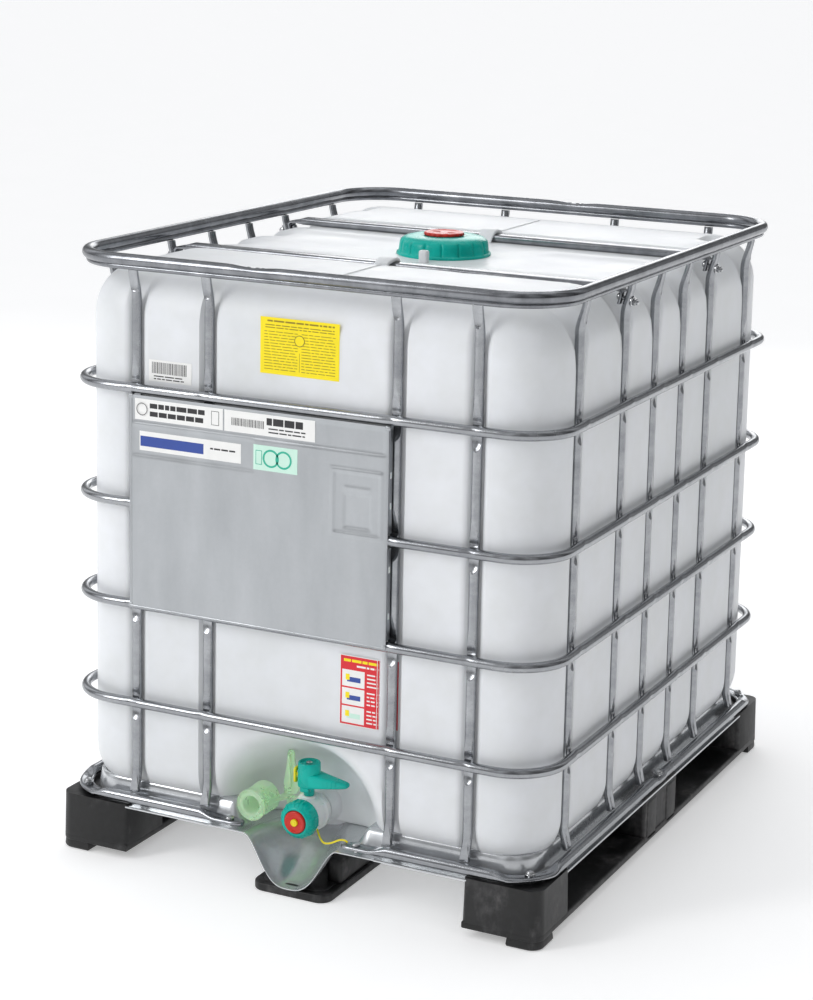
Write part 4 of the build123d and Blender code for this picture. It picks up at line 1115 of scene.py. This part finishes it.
def build_plate():
    low, high = span("label_plate")
    front, thick = low.y, 1.0
    columns, rows_count = 180, 140
    grid = []
    for row in range(rows_count + 1):
        z = mix(high.z, low.z, row / rows_count)
        grid.append([
            Vector((x, plate_face(x, z), z))
            for x in (mix(low.x, high.x, column / columns) for column in range(columns + 1))
        ])
    parts = [sheet(grid, thick, lambda p: Vector((0, -1, 0)))]
    # folded sides, cut out at the hoops, and the rolled lower lip
    breaks = [low.z] + [z + s * (TUBE_R + 4) for z in HOOPS[2:0:-1] for s in (-1, 1)] + [high.z]
    for x in (low.x, high.x):
        inner = x + (thick if x < 0 else -thick)
        for a, b in zip(breaks[::2], breaks[1::2]):
            if b - a > 12:
                parts.append(block((min(x, inner), front + 2.4, a), (max(x, inner), front + 18, b), 0.35, 2))
    lip = []
    for step in range(31):
        x = mix(low.x + 2, high.x - 2, step / 30)
        lip.append([Vector((x, front + 2.6 + a, low.z + 2.4 + b)) for a, b in circle(2.4, 12)])
    parts.append(skin(lip))
    edge = []
    for step in range(31):
        z = mix(low.z + 3, high.z - 3, step / 30)
        edge.append([Vector((low.x + 5 + a, front + 2.2 + b, z)) for a, b in circle(1.7, 10)])
    parts.append(skin(edge))
    # weld tabs at the corners
    tabs = (
        (low.x + 3, low.z + 4), (high.x - 4, low.z + 4), (high.x - 3, high.z - 3), (low.x + 4, high.z - 3),
    )
    for x, z in tabs:
        parts.append(block((x - 5, front + 0.6, z - 4), (x + 5, front + 4.5, z + 4), 1.6, 3))
    make("label_plate_sheet", parts, SHEET, "label_plate", crease=60)

    clips_low, clips_high = span("plate_clips")
    parts = []
    for z in (815, 760, 645, 560):
        for x, out in ((clips_low.x, -1), (clips_high.x, 1)):
            near, far = sorted((x + out * 1.5, x - out * 6))
            parts.append(block((near, clips_low.y, z - 6), (far, clips_high.y, z + 6), 1.2))
    make("plate_clip_buttons", parts, NATURAL, "plate_clips")


# ---------------------------------------------------------------- labels
def bottle_face(x, z):
    """The bottle's front at a place, with its channels."""
    offset = min(abs(x - spot) for spot in FRONT_SPOTS)
    depth = 13.5 * groove(offset, 11, 29)
    return -BOTTLE_Y + depth


def patch(x_low, x_high, z_low, z_high, lift, number, surface=bottle_face, step=4.0, thick=0.25):
    """A thin film over the surface, as a part with a material number."""
    columns = max(1, ceil((x_high - x_low) / step))
    rows = max(1, ceil((z_high - z_low) / 12.0))
    grid = []
    for row in range(rows + 1):
        z = mix(z_low, z_high, row / rows)
        grid.append([])
        for column in range(columns + 1):
            x = mix(x_low, x_high, column / columns)
            grid[-1].append(Vector((x, surface(x, z) - lift, z)))
    points, faces = sheet(grid, thick, lambda p: Vector((0, -1, 0)))
    return points, faces, number


def text_rows(x_low, x_high, z_top, count, pitch, thick, lift, number, seed, surface=bottle_face):
    """Plain bars that stand for lines of print, each broken a little differently."""
    parts = []
    for row in range(count):
        z = z_top - pitch * row
        x = x_low
        turn = seed + row * 7
        while x < x_high - 3:
            turn = (turn * 5 + 3) % 17
            end = min(x_high, x + 5 + turn)
            parts.append(patch(x, end, z - thick, z, lift, number, surface, step=8, thick=0.12))
            x = end + 2.2
    return parts


def stripes(x_low, x_high, z_low, z_high, lift, number, surface=bottle_face):
    """A plain row of upright bars."""
    parts, x, turn = [], x_low, 3
    while x < x_high:
        turn = (turn * 7 + 5) % 11
        parts.append(patch(x, x + 0.7 + turn * 0.12, z_low, z_high, lift, number, surface, thick=0.12))
        x += 2.0 + turn * 0.16
    return parts


def yellow_label(lift):
    low, high = span("yellow_label")
    inks = [YELLOW_FILM, OCHRE_INK, DARK_INK]
    parts = [patch(low.x, high.x, low.z, high.z, lift, 0)]
    centre = (low.x + high.x) / 2
    top = high.z - 5
    parts += text_rows(low.x + 14, high.x - 10, top, 1, 4, 3.0, lift + 0.15, 1, 4)
    parts += text_rows(low.x + 10, high.x - 10, top - 8, 2, 4.6, 1.6, lift + 0.15, 1, 9)
    for x_a, x_b, seed in ((low.x + 8, centre - 4, 3), (centre + 4, high.x - 8, 11)):
        parts += text_rows(x_a, x_b, top - 20, 14, 5.2, 1.2, lift + 0.15, 1, seed)
    parts.append(patch(centre - 0.4, centre + 0.4, low.z + 8, high.z - 60, lift + 0.15, 1, thick=0.12))
    disc = [(0.4, 0), (10.5, 0), (10.5, 0.3), (0.4, 0.3)]
    parts.append((*turned(disc, facing_front(centre, -BOTTLE_Y - lift - 0.1, high.z - 38), 40), 0))
    ring = [(9.2, 0), (10.2, 0), (10.2, 0.42), (9.2, 0.42)]
    spot = facing_front(centre, -BOTTLE_Y - lift - 0.1, high.z - 38)
    parts.append((*turned(ring, spot, 40, closed=True), 2))
    make("yellow_label_film", parts, inks, "yellow_label")


def red_label(lift):
    low, high = span("red_label")
    inks = [RED_FILM, WHITE_FILM, BLUE_INK, YELLOW_FILM, MINT_FILM]
    parts = [patch(low.x, high.x, low.z, high.z, lift, 1, step=3)]
    parts.append(patch(low.x + 1.6, high.x - 1.6, low.z + 1.6, high.z - 1.6, lift + 0.12, 0, step=3))
    for row in range(3):
        top = high.z - 27 - 34 * row
        parts.append(patch(low.x + 5, low.x + 50, top - 31, top, lift + 0.24, 1, step=3))
        number = 2 if row < 2 else 4
        parts.append(patch(low.x + 15, low.x + 42, top - 22, top - 13, lift + 0.36, number, thick=0.12))
        parts.append(patch(low.x + 12, low.x + 20, top - 19, top - 8, lift + 0.44, 3, thick=0.12))
        parts += text_rows(low.x + 55, high.x - 30, top - 3, 4, 7.2, 2.6, lift + 0.24, 1, 5 + row)
    parts += text_rows(low.x + 8, high.x - 26, high.z - 7, 1, 6, 5.0, lift + 0.24, 3, 8)
    parts += text_rows(low.x + 34, high.x - 26, high.z - 17, 1, 6, 3.4, lift + 0.24, 1, 2)
    make("red_label_film", parts, inks, "red_label")


def barcode_label(lift):
    low, high = span("barcode_label")
    parts = [patch(low.x, high.x, low.z, high.z, lift, 0)]
    parts += stripes(low.x + 10, high.x - 12, low.z + 15, high.z - 4, lift + 0.15, 1)
    parts += text_rows(low.x + 14, high.x - 16, low.z + 11, 2, 5.0, 2.0, lift + 0.15, 1, 6)
    make("barcode_label_film", parts, [WHITE_FILM, DARK_INK], "barcode_label")


def plate_labels():
    plate_low, plate_high = span("label_plate")
    front = plate_low.y + 0.9

    def face(x, z):
        return min(plate_face(x, z) - 0.3, plate_low.y + 2.4)

    inks = [WHITE_FILM, DARK_INK, BLUE_INK, MINT_FILM, TEAL_INK]
    parts = []
    x, z = plate_low.x, plate_high.z
    top_row = (z - 45, z - 6)
    parts.append(patch(x + 12, x + 198, *top_row, 0, 0, face))
    parts += text_rows(x + 44, x + 160, z - 13, 2, 15, 9, 0.15, 1, 5, face)
    ring = [(10.5, 0), (11.6, 0), (11.6, 0.3), (10.5, 0.3)]
    parts.append((*turned(ring, facing_front(x + 28, front, z - 25), 36, closed=True), 1))
    parts.append(patch(x + 174, x + 190, z - 38, z - 12, 0.15, 1, face, thick=0.12))
    parts.append(patch(x + 175, x + 189, z - 37, z - 13, 0.25, 0, face, thick=0.12))
    parts.append(patch(x + 201, x + 386, z - 45, z - 6, 0, 0, face))
    parts += stripes(x + 216, x + 282, z - 33, z - 19, 0.15, 1, face)
    parts += text_rows(x + 288, x + 364, z - 12, 1, 8, 13, 0.15, 1, 4, face)
    parts += text_rows(x + 292, x + 370, z - 30, 2, 6.5, 2.4, 0.15, 1, 9, face)
    pocket = (x + 22, x + 236, z - 102, z - 66)
    parts.append(patch(*pocket, 0, 0, face))
    parts.append(patch(pocket[0] + 2, pocket[0] + 136, pocket[2] + 8, pocket[3] - 9, 0.15, 2, face))
    parts += text_rows(pocket[0] + 150, pocket[1] - 12, pocket[2] + 22, 1, 6, 3, 0.15, 1, 3, face)
    badge = (x + 262, x + 352, z - 108, z - 62)
    parts.append(patch(*badge, 0, 3, face))
    for dx, tone in ((36, 4), (62, 4)):
        ring = [(13, 0), (16.5, 0), (16.5, 0.35), (13, 0.35)]
        parts.append((*turned(ring, facing_front(badge[0] + dx, front, z - 85), 40, closed=True), tone))
    parts.append(patch(badge[0] + 5, badge[0] + 18, z - 98, z - 72, 0.15, 4, face, thick=0.12))
    parts.append(patch(badge[0] + 6.2, badge[0] + 16.8, z - 96.8, z - 73.2, 0.25, 3, face, thick=0.12))
    make("plate_label_films", parts, inks, "plate_labels")


def build_labels():
    lift = 0.45     # of a film over the bottle
    yellow_label(lift)
    red_label(lift)
    barcode_label(lift)
    plate_labels()


# ---------------------------------------------------------------- fill lid
def build_lid():
    low, high = span("lid")
    neck_top = span("lid_gasket")[1].z
    radius = high.x
    panels = 16

    def ribs(angle, reach, height):
        if not low.z + 6 < height < high.z - 5 or reach < radius - 9:
            return 0
        phase = (angle * panels / (2 * pi)) % 1.0
        edge = min(phase, 1 - phase)
        return -2.6 * bump(edge, 0.055) + 0.7 * (1 - bump(edge, 0.2))

    skirt_in = 77.8
    profile = [
        (30.4, high.z - 17), (30.4, high.z - 1.5), (42, high.z - 1.5), (43.5, high.z - 0.6), (46, high.z),
        (58, high.z - 0.8), (70, high.z - 2.2), (78, high.z - 4.4), (83, high.z - 7.5), (85.6, high.z - 11.5),
        (86.6, high.z - 16), (87.2, high.z - 21), (87.8, high.z - 27), (88.6, low.z + 8), (89.4, low.z + 6.6),
        (91.6, low.z + 5.8), (radius - 0.4, low.z + 4.6), (radius, low.z + 2.6), (radius - 0.6, low.z + 0.6),
        (radius - 2, low.z), (skirt_in, low.z), (skirt_in, neck_top + 0.2), (34.4, neck_top + 0.2),
        (34.4, high.z - 17),
    ]
    parts = [turned(profile, steps=320, flute=ribs, closed=True)]
    make("lid_shell", parts, TEAL, "lid", body="lid", crease=42)

    low, high = span("vent_plug")
    flange = span("vent_plug_gasket")[1].z

    def grip(angle, reach, height):
        if reach < 34 or height > high.z - 1.4:
            return 0
        return -1.4 * bump(((angle * 18 / (2 * pi)) % 1.0) - 0.5, 0.2)

    profile = [
        (26.8, low.z), (29.6, low.z), (29.6, flange), (39.4, flange + 0.2), (39.9, flange + 1.4),
        (39.6, high.z - 2.4),
        (38.2, high.z - 0.7), (36, high.z), (30, high.z - 0.2), (28.6, high.z - 0.9), (26, high.z - 1.2),
        (0.5, high.z - 1.2), (0.5, high.z - 3.6), (26.8, high.z - 3.6),
    ]
    parts = [turned(profile, steps=144, flute=grip, closed=True)]
    for turn in (0, pi):
        place = Matrix.Translation((16 * cos(turn), 16 * sin(turn), 0))
        parts.append(slab([(place @ Vector((a, b, 0))).to_2d() for a, b in rounded(8, 2.6, 2.4)],
                          level_place, high.z - 2, high.z - 0.3, 0.4, 2))
    make("vent_plug_cap", parts, RED, "vent_plug", body="vent_plug", crease=42)


# ---------------------------------------------------------------- outlet valve
BOSS_TOP = 6.0


def thread(radius, depth, start, end, pitch=6.0):
    """Profile points of round-shouldered thread ridges between two heights."""
    points, z = [], start
    while z + pitch <= end + 0.1:
        points += [(radius - depth, z), (radius - depth, z + 0.35 * pitch), (radius, z + 0.5 * pitch),
                   (radius, z + 0.65 * pitch), (radius - depth, z + 0.8 * pitch)]
        z += pitch
    return points


def build_valve_body():
    low, high = span("valve_body")
    root = high.y
    reach = root - low.y
    place = facing_front(0, root, OUTLET.z)
    collar = 36.2
    body = [
        (25, 5), (25, reach), (27.4, reach), (29, reach - 1.2), *reversed(
            [(r, z) for r, z in thread(29.8, 2.4, reach - 20, reach - 2)]),
        (28, reach - 22), (31.6, reach - 23.5), (32.2, reach - 26), (32.2, 24), (33.4, 20),
        (collar, 17.5), (collar, 8.5),
        (34.5, 6.5), (32.4, 4.4), (32.4, 0), (25, 0),
    ]
    parts = [turned(body, place, steps=96, closed=True)]
    # stem boss on top, and ribs along the body
    boss = [(5.2, -6), (12, -6), (15, -2), (12.6, 3), (12, BOSS_TOP - 1), (11, BOSS_TOP), (5.2, BOSS_TOP)]
    stem_place = Matrix.Translation((STEM.x, STEM.y, OUTLET.z + 29))
    parts.append(turned(boss, stem_place, steps=48, closed=True))
    for turn in (-52, 52):
        angle = radians(turn)
        spin = Matrix.Translation((0, 0, OUTLET.z)) @ Matrix.Rotation(angle, 4, "Y")
        parts.append(block((-1.6, low.y + 26, 28), (1.6, root - 12, 34.5), 1.2, 3, spin))
    make("valve_body_moulding", parts, NATURAL, "valve_body", crease=45)


def build_valve_handle():
    low, high = span("valve_handle")
    hub_low, hub_high = 190.0, high.z
    hub_r = 21.5
    hub = [
        (5.0, 229), (5.0, low.z), (9.2, low.z), (10, low.z + 1), (10.4, hub_low - 5), (13, hub_low - 1.4),
        (hub_r - 2, hub_low), (hub_r - 0.6, hub_low + 1), (hub_r, hub_low + 3), (hub_r - 0.5, hub_high - 2.5),
        (hub_r - 1.2, hub_high - 0.8), (hub_r - 2.4, hub_high), (hub_r - 3.8, hub_high - 0.4),
        (hub_r - 4.8, hub_high - 2),
        (hub_r - 5.2, hub_high - 4), (5.0, hub_high - 4.2),
    ]
    parts = [turned(hub, Matrix.Translation((STEM.x, STEM.y, 0)), steps=72, closed=True)]
    stations = ((8, 20, 191, 217), (18, 18.6, 191.4, 216.6), (28, 16.4, 192.4, 215.4), (40, 14.2, 193.8, 214),
                (54, 12.2, 195.6, 212.4), (68, 10.4, 197.8, 210.6), (77, 8.8, 199.6, 209.2),
                (81, 6.6, 201, 208),
                (82.4, 3.8, 202.8, 206.4))
    rings = []
    for x, half, base, top in stations:
        corner = min(4.5, half * 0.6, (top - base) * 0.4)
        ring = rounded(half, (top - base) / 2, corner, (0, (base + top) / 2), 5)
        rings.append([Vector((STEM.x + x, STEM.y + a, b)) for a, b in ring])
    parts.append(skin(rings))
    # raised grip ribs on the lever's flank and a key under the hub
    for x in (34, 42, 50, 58):
        base = mix(193.6, 197.4, (x - 34) / 24)
        near = STEM.y - 15.2 + (x - 34) * 0.13
        parts.append(block((x, near, base + 4), (x + 3, STEM.y - 8, base + 14), 0.9, 2))
    parts.append(block((-9, STEM.y - 20.5, hub_low - 7), (9, STEM.y - 8, hub_low + 2), 2))
    make(
        "valve_handle_moulding", parts, TEAL, "valve_handle",
        body="valve_spindle", crease=42,
    )


def build_lock_clip():
    """A small frame that slides off the hub."""
    low, high = span("lock_clip")
    front_x = low.x
    parts = []
    outer = rounded(12.6, 14.6, 5, (STEM.y, 210))
    inner = rounded(6.4, 7.4, 3, (STEM.y, 210))
    rings = []
    for x, share in ((front_x, 0.08), (front_x + 0.8, 0.0), (front_x + 4.2, 0.0), (front_x + 5, 0.08)):
        rings.append([Vector((x, mix(a, STEM.y, share), mix(b, 210, share))) for a, b in outer])
    for x, share in ((front_x + 5, -0.12), (front_x + 4.2, 0.0), (front_x + 0.8, 0.0), (front_x, -0.12)):
        rings.append([Vector((x, mix(a, STEM.y, share), mix(b, 210, share))) for a, b in inner])
    parts.append(skin(rings, closed=True))
    parts.append(block((front_x + 0.6, STEM.y - 7, 208.4), (front_x + 4.4, STEM.y + 7, 211.6), 1))
    for y in (-8, 8):
        parts.append(block((front_x + 3, STEM.y + y - 1.5, 208.6), (high.x, STEM.y + y + 1.5, 215.4), 0.6, 2))
    make("lock_clip_moulding", parts, YELLOW, "lock_clip", body="lock_clip", crease=42)


def build_outlet_cap():
    low, high = span("outlet_nut")
    back, front = high.y, low.y
    deep = back - front
    disc_low, disc_high = span("outlet_disc")
    seat = disc_high.y
    place = facing_front(0, back, OUTLET.z)
    ribs_count = 12

    def ribs(angle, reach, height):
        if reach < 33.6 or height < 1.5 or height > deep - 5:
            return 0
        edge = ((angle * ribs_count / (2 * pi)) % 1.0) - 0.5
        return 1.5 * bump(edge, 0.1) - 0.5 * bump(abs(edge) - 0.25, 0.08)

    bore = 30.2
    wall = back - seat + 3.4
    profile = [
        (bore, 0.8), (bore + 1, 0), (33.4, 0), (34.3, 0.8), (34.5, 2.5), (34.5, 14), (34.2, 18.5),
        (33.2, 21.5),
        (31.6, 23.4), (29.6, 25.4), (27.4, 27.6), (26, 28.9), (24.6, deep), (22.8, deep - 0.2),
        (21.9, deep - 1.4),
        (21.9, wall), (bore, wall),
    ]
    parts = [turned(profile, place, steps=240, flute=ribs, closed=True)]
    # short radial ribs on the cone
    for step in range(ribs_count * 2):
        angle = 2 * pi * (step + 0.5) / (ribs_count * 2)
        spin = Matrix.Translation((0, 0, OUTLET.z)) @ Matrix.Rotation(angle, 4, "Y")
        tilt = Matrix.Translation((0, back - 24.6, 30.2)) @ Matrix.Rotation(radians(48), 4, "X")
        parts.append(block((-0.8, -3.6, -0.6), (0.8, 3.6, 0.9), 0.4, 2, spin @ tilt))
    make("outlet_nut_moulding", parts, TEAL, "outlet_nut", body="outlet_nut", crease=42)

    face = disc_high.y - disc_low.y
    profile = [
        (0.5, 0), (29.4, 0), (29.4, 2.8), (21.3, 3), (21.3, face - 2.2), (20.6, face - 0.8), (19, face),
        (17.2, face - 0.1), (15.6, face - 0.9), (11, face - 1.3), (8.4, face - 1.2), (7.6, face - 1.6),
        (0.5, face - 1.6),
    ]
    make("outlet_disc_moulding", [turned(profile, facing_front(0, seat, OUTLET.z), steps=96)], RED,
         "outlet_disc", body="outlet_disc", crease=42)

    low, high = span("seal_button")
    rise = high.y - low.y
    profile = [(0.5, 0), (6.9, 0), (6.9, rise - 0.8), (6.2, rise), (4.8, rise), (4.4, rise - 0.5)]
    profile += [(3.2, rise - 0.5), (2.8, rise), (0.4, rise)]
    make("seal_button_moulding", [turned(profile, facing_front(0, high.y, OUTLET.z), steps=48)], YELLOW,
         "seal_button", body="outlet_disc", crease=42)


def build_safeguard():
    x, z, radius, bore = -92.0, 153.0, 30.0, 17.0
    front, back = -580.0, -522.0
    deep = back - front
    place = facing_front(x, back, z)
    cup = [
        (bore, 3.5), (bore, deep - 3), (bore + 1.2, deep - 1), (bore + 2.6, deep - 0.6),
        (radius - 5, deep - 3.2),
        (radius - 2, deep - 1.2), (radius - 0.8, deep), (radius, deep - 1.4), (radius - 0.4, deep - 5),
        (radius - 1.6, deep - 8), (radius - 1.2, 20), (radius - 0.2, 6), (radius, 2), (radius - 1, 0.4),
        (radius - 3, 0), (bore - 3, 0), (2, 0.6), (2, 3.0), (bore - 2, 3.2),
    ]
    parts = [turned(cup, place, steps=80, closed=True)]
    # hook, tall tab and fin
    collar = 36.5
    hook = []
    for step in range(15):
        angle = radians(128 + 104 * step / 14)
        hook.append(((collar + 3.2) * cos(angle), OUTLET.z + (collar + 3.2) * sin(angle)))
    for step in range(15):
        angle = radians(232 - 104 * step / 14)
        hook.append((collar * cos(angle), OUTLET.z + collar * sin(angle)))

    def upright_plane(a, b, depth):
        return Vector((a, depth, b))

    parts.append(slab(hook, upright_plane, -494.5, -501.5, 0.8, 2))
    tab = [(-66, 150), (-68, 176), (-63, 206), (-60, 236), (-57, 241), (-50, 241.5), (-46.5, 238), (-44, 212),
           (-38, 186), (-33, 172), (-40, 158)]
    parts.append(slab(tab, upright_plane, -496, -500, 1.2, 3))
    parts.append(slab([(-57, 170), (-56, 232), (-53, 232), (-50, 170)], upright_plane, -490.5, -505, 0.8, 2))
    parts.append(block((-48, -501, 126), (-37.8, -495, 152), 0.8, 2))
    fin = [(-62, 150), (-44, 140), (-41, 112), (-44, 94), (-50, 88.8), (-55, 92), (-58, 120)]
    parts.append(slab(fin, upright_plane, -496, -500.5, 1.2, 3))

    def level_plane(a, b, depth):
        return Vector((a, b, depth))

    web = [(-70, -495), (-47, -495), (-50, -508), (-60, -530), (-66, -560), (-72, -560), (-72, -530)]
    parts.append(slab(web, level_plane, 149, 153.5, 1.2, 3))
    # ribs that run back along the cup
    for angle in (30, 75, 120, 165, 210):
        spin = Matrix.Translation((x, 0, z)) @ Matrix.Rotation(radians(angle), 4, "Y")
        parts.append(block((-1, front + 8, radius - 3), (1, back - 2, radius + 0.6), 0.7, 2, spin))
    make(
        "valve_safeguard_moulding", parts, GREEN, "valve_safeguard",
        body="safeguard", crease=45,
    )


def build_strap():
    """The thin flat seal strap beside the outlet."""
    route = [
        (25.9, -540, 115.9), (42, -556, 99.5), (64, -565, 102.5), (100, -577, 126), (113.5, -585.4, 123.4),
    ]
    line = bpy.data.curves.new("strap_line", "CURVE")
    line.dimensions = "3D"
    spline = line.splines.new("NURBS")
    spline.points.add(len(route) - 1)
    for point, place in zip(spline.points, route):
        point.co = (*place, 1)
    spline.order_u = 3
    spline.use_endpoint_u = True
    spline.resolution_u = 12
    guide = bpy.data.objects.new("strap_line", line)
    bpy.context.scene.collection.objects.link(guide)
    traced = bpy.data.meshes.new_from_object(guide)
    path = [v.co.copy() for v in traced.vertices]
    bpy.data.objects.remove(guide)
    bpy.data.meshes.remove(traced)
    rings = []
    for i, place in enumerate(path):
        ahead = (path[min(i + 1, len(path) - 1)] - path[max(i - 1, 0)]).normalized()
        side = ahead.cross(Vector((0.2, -1, 0.35))).normalized()
        up = side.cross(ahead)
        rings.append([place + side * a + up * b for a, b in rounded(1.7, 0.6, 0.5, steps=2)])
    make("seal_strap_band", [skin(rings)], YELLOW, "seal_strap")


# ---------------------------------------------------------------- CAD pieces that keep their shape
def dress():
    for node, material in (
        ("lid_gasket", RUBBER), ("vent_plug_gasket", RUBBER), ("outlet_gasket", RUBBER),
        ("stem_seals", RUBBER),
        ("flap_seal", RUBBER), ("valve_flap", NATURAL), ("valve_stem", BRIGHT), ("handle_screw", BRIGHT),
    ):
        mesh_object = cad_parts[node]
        mesh_object.data.materials.clear()
        mesh_object.data.materials.append(material)


# ---------------------------------------------------------------- studio
def build_floor():
    floor_mesh = bpy.data.meshes.new("studio_floor")
    half = 400.0
    corners = [(-half, -half, 0), (half, -half, 0), (half, half, 0), (-half, half, 0)]
    floor_mesh.from_pydata(corners, [], [(0, 1, 2, 3)])
    floor = bpy.data.objects.new("studio_floor", floor_mesh)
    bpy.context.scene.collection.objects.link(floor)
    paper = Finish("floor_paper", Roughness=0.8, Emission_Strength=0.35)
    paper.shader.inputs["Emission Color"].default_value = (1, 1, 1, 1)
    cloud = paper.noise(3, detail=2)
    paper.paint(paper.stops(cloud, (0.3, (0.88, 0.88, 0.88, 1)), (0.7, (0.9, 0.9, 0.9, 1))))
    floor_mesh.materials.append(paper.material)


def build_room():
    """A world that is bright to the left and overhead, and dim to the right and near the horizon."""
    world = bpy.data.worlds.new("studio")
    bpy.context.scene.world = world
    world.use_nodes = True
    tree = world.node_tree
    background = tree.nodes["Background"]
    apart = tree.nodes.new("ShaderNodeSeparateXYZ")
    tree.links.new(tree.nodes.new("ShaderNodeTexCoord").outputs["Generated"], apart.inputs["Vector"])

    def math(operation, *values):
        step = tree.nodes.new("ShaderNodeMath")
        step.operation = operation
        for socket, value in zip(step.inputs, values):
            if isinstance(value, (int, float)):
                socket.default_value = value
            else:
                tree.links.new(value, socket)
        return step.outputs["Value"]

    bands = []
    for axis, low, high, at_low, at_high in (("X", -0.7, 0.85, 1.05, 0.32), ("Z", -0.02, 0.5, 0.46, 1.0)):
        band = tree.nodes.new("ShaderNodeMapRange")
        for name, amount in (("From Min", low), ("From Max", high), ("To Min", at_low), ("To Max", at_high)):
            band.inputs[name].default_value = amount
        tree.links.new(apart.outputs[axis], band.inputs["Value"])
        bands.append(band.outputs["Result"])
    room = math("MULTIPLY", *bands)
    # reflections see upright soft boxes with dim gaps between them
    bearing = math("ARCTAN2", apart.outputs["Y"], apart.outputs["X"])
    boxes = math("MULTIPLY_ADD", math("SINE", math("MULTIPLY_ADD", bearing, 7.0, 0.6)), 0.48, 0.74)
    rays = tree.nodes.new("ShaderNodeLightPath").outputs
    seen, glossy = rays["Is Camera Ray"], rays["Is Glossy Ray"]
    mirrored = math("MULTIPLY", math("MULTIPLY", room, boxes), glossy)
    direct = math("MULTIPLY", room, math("SUBTRACT", math("SUBTRACT", 1.0, glossy), seen))
    backdrop = math("MULTIPLY", seen, 1.03)
    tree.links.new(math("ADD", math("ADD", mirrored, direct), backdrop), background.inputs["Strength"])
    background.inputs["Color"].default_value = (0.97, 0.98, 1.0, 1)


def build_lights():
    for name, place, size, power in (
        ("key", (-2.6, -3.8, 3.0), (1.0, 2.6), 62.0),
        ("top", (0.4, 0.6, 4.6), (2.4, 2.4), 14.0),
        ("back", (-1.4, 4.2, 2.4), (2.6, 1.4), 26.0),
    ):
        data = bpy.data.lights.new(name, "AREA")
        data.shape = "RECTANGLE"
        data.size, data.size_y = size
        data.energy = power
        light = bpy.data.objects.new(name, data)
        light.location = place
        aim = Vector((0, 0, 0.55)) - light.location
        light.rotation_euler = aim.to_track_quat("-Z", "Y").to_euler()
        bpy.context.scene.collection.objects.link(light)


def build_camera():
    """The viewpoint: to the right of the front, a little above the rim."""
    azimuth, elevation, roll = radians(25.943), radians(10.812), radians(1.222)
    target, distance = Vector((-0.0466, 0.0, 0.9124)), 4.7764
    back = Vector((sin(azimuth) * cos(elevation), -cos(azimuth) * cos(elevation), sin(elevation)))
    level = (-back).cross(Vector((0, 0, 1))).normalized()
    upward = level.cross(-back)
    right = level * cos(roll) + upward * sin(roll)
    up = upward * cos(roll) - level * sin(roll)
    data = bpy.data.cameras.new("camera")
    data.lens, data.sensor_width = 86.454, 36.0
    data.shift_x, data.shift_y = -0.0137, -0.147
    camera = bpy.data.objects.new("camera", data)
    turn = Matrix((right, up, back)).transposed().to_4x4()
    camera.matrix_world = Matrix.Translation(target + back * distance) @ turn
    bpy.context.scene.collection.objects.link(camera)
    bpy.context.scene.camera = camera


build_camera()
build_floor()
build_room()
build_lights()
bpy.context.scene.view_settings.view_transform = "Standard"
build_bottle()
build_uprights()
build_hoops()
build_rim()
build_ring()
build_crossbars()
build_fasteners()
build_tray()
build_skids()
build_plate()
build_labels()
build_lid()
build_valve_body()
build_valve_handle()
build_lock_clip()
build_outlet_cap()
build_safeguard()
build_strap()
dress()
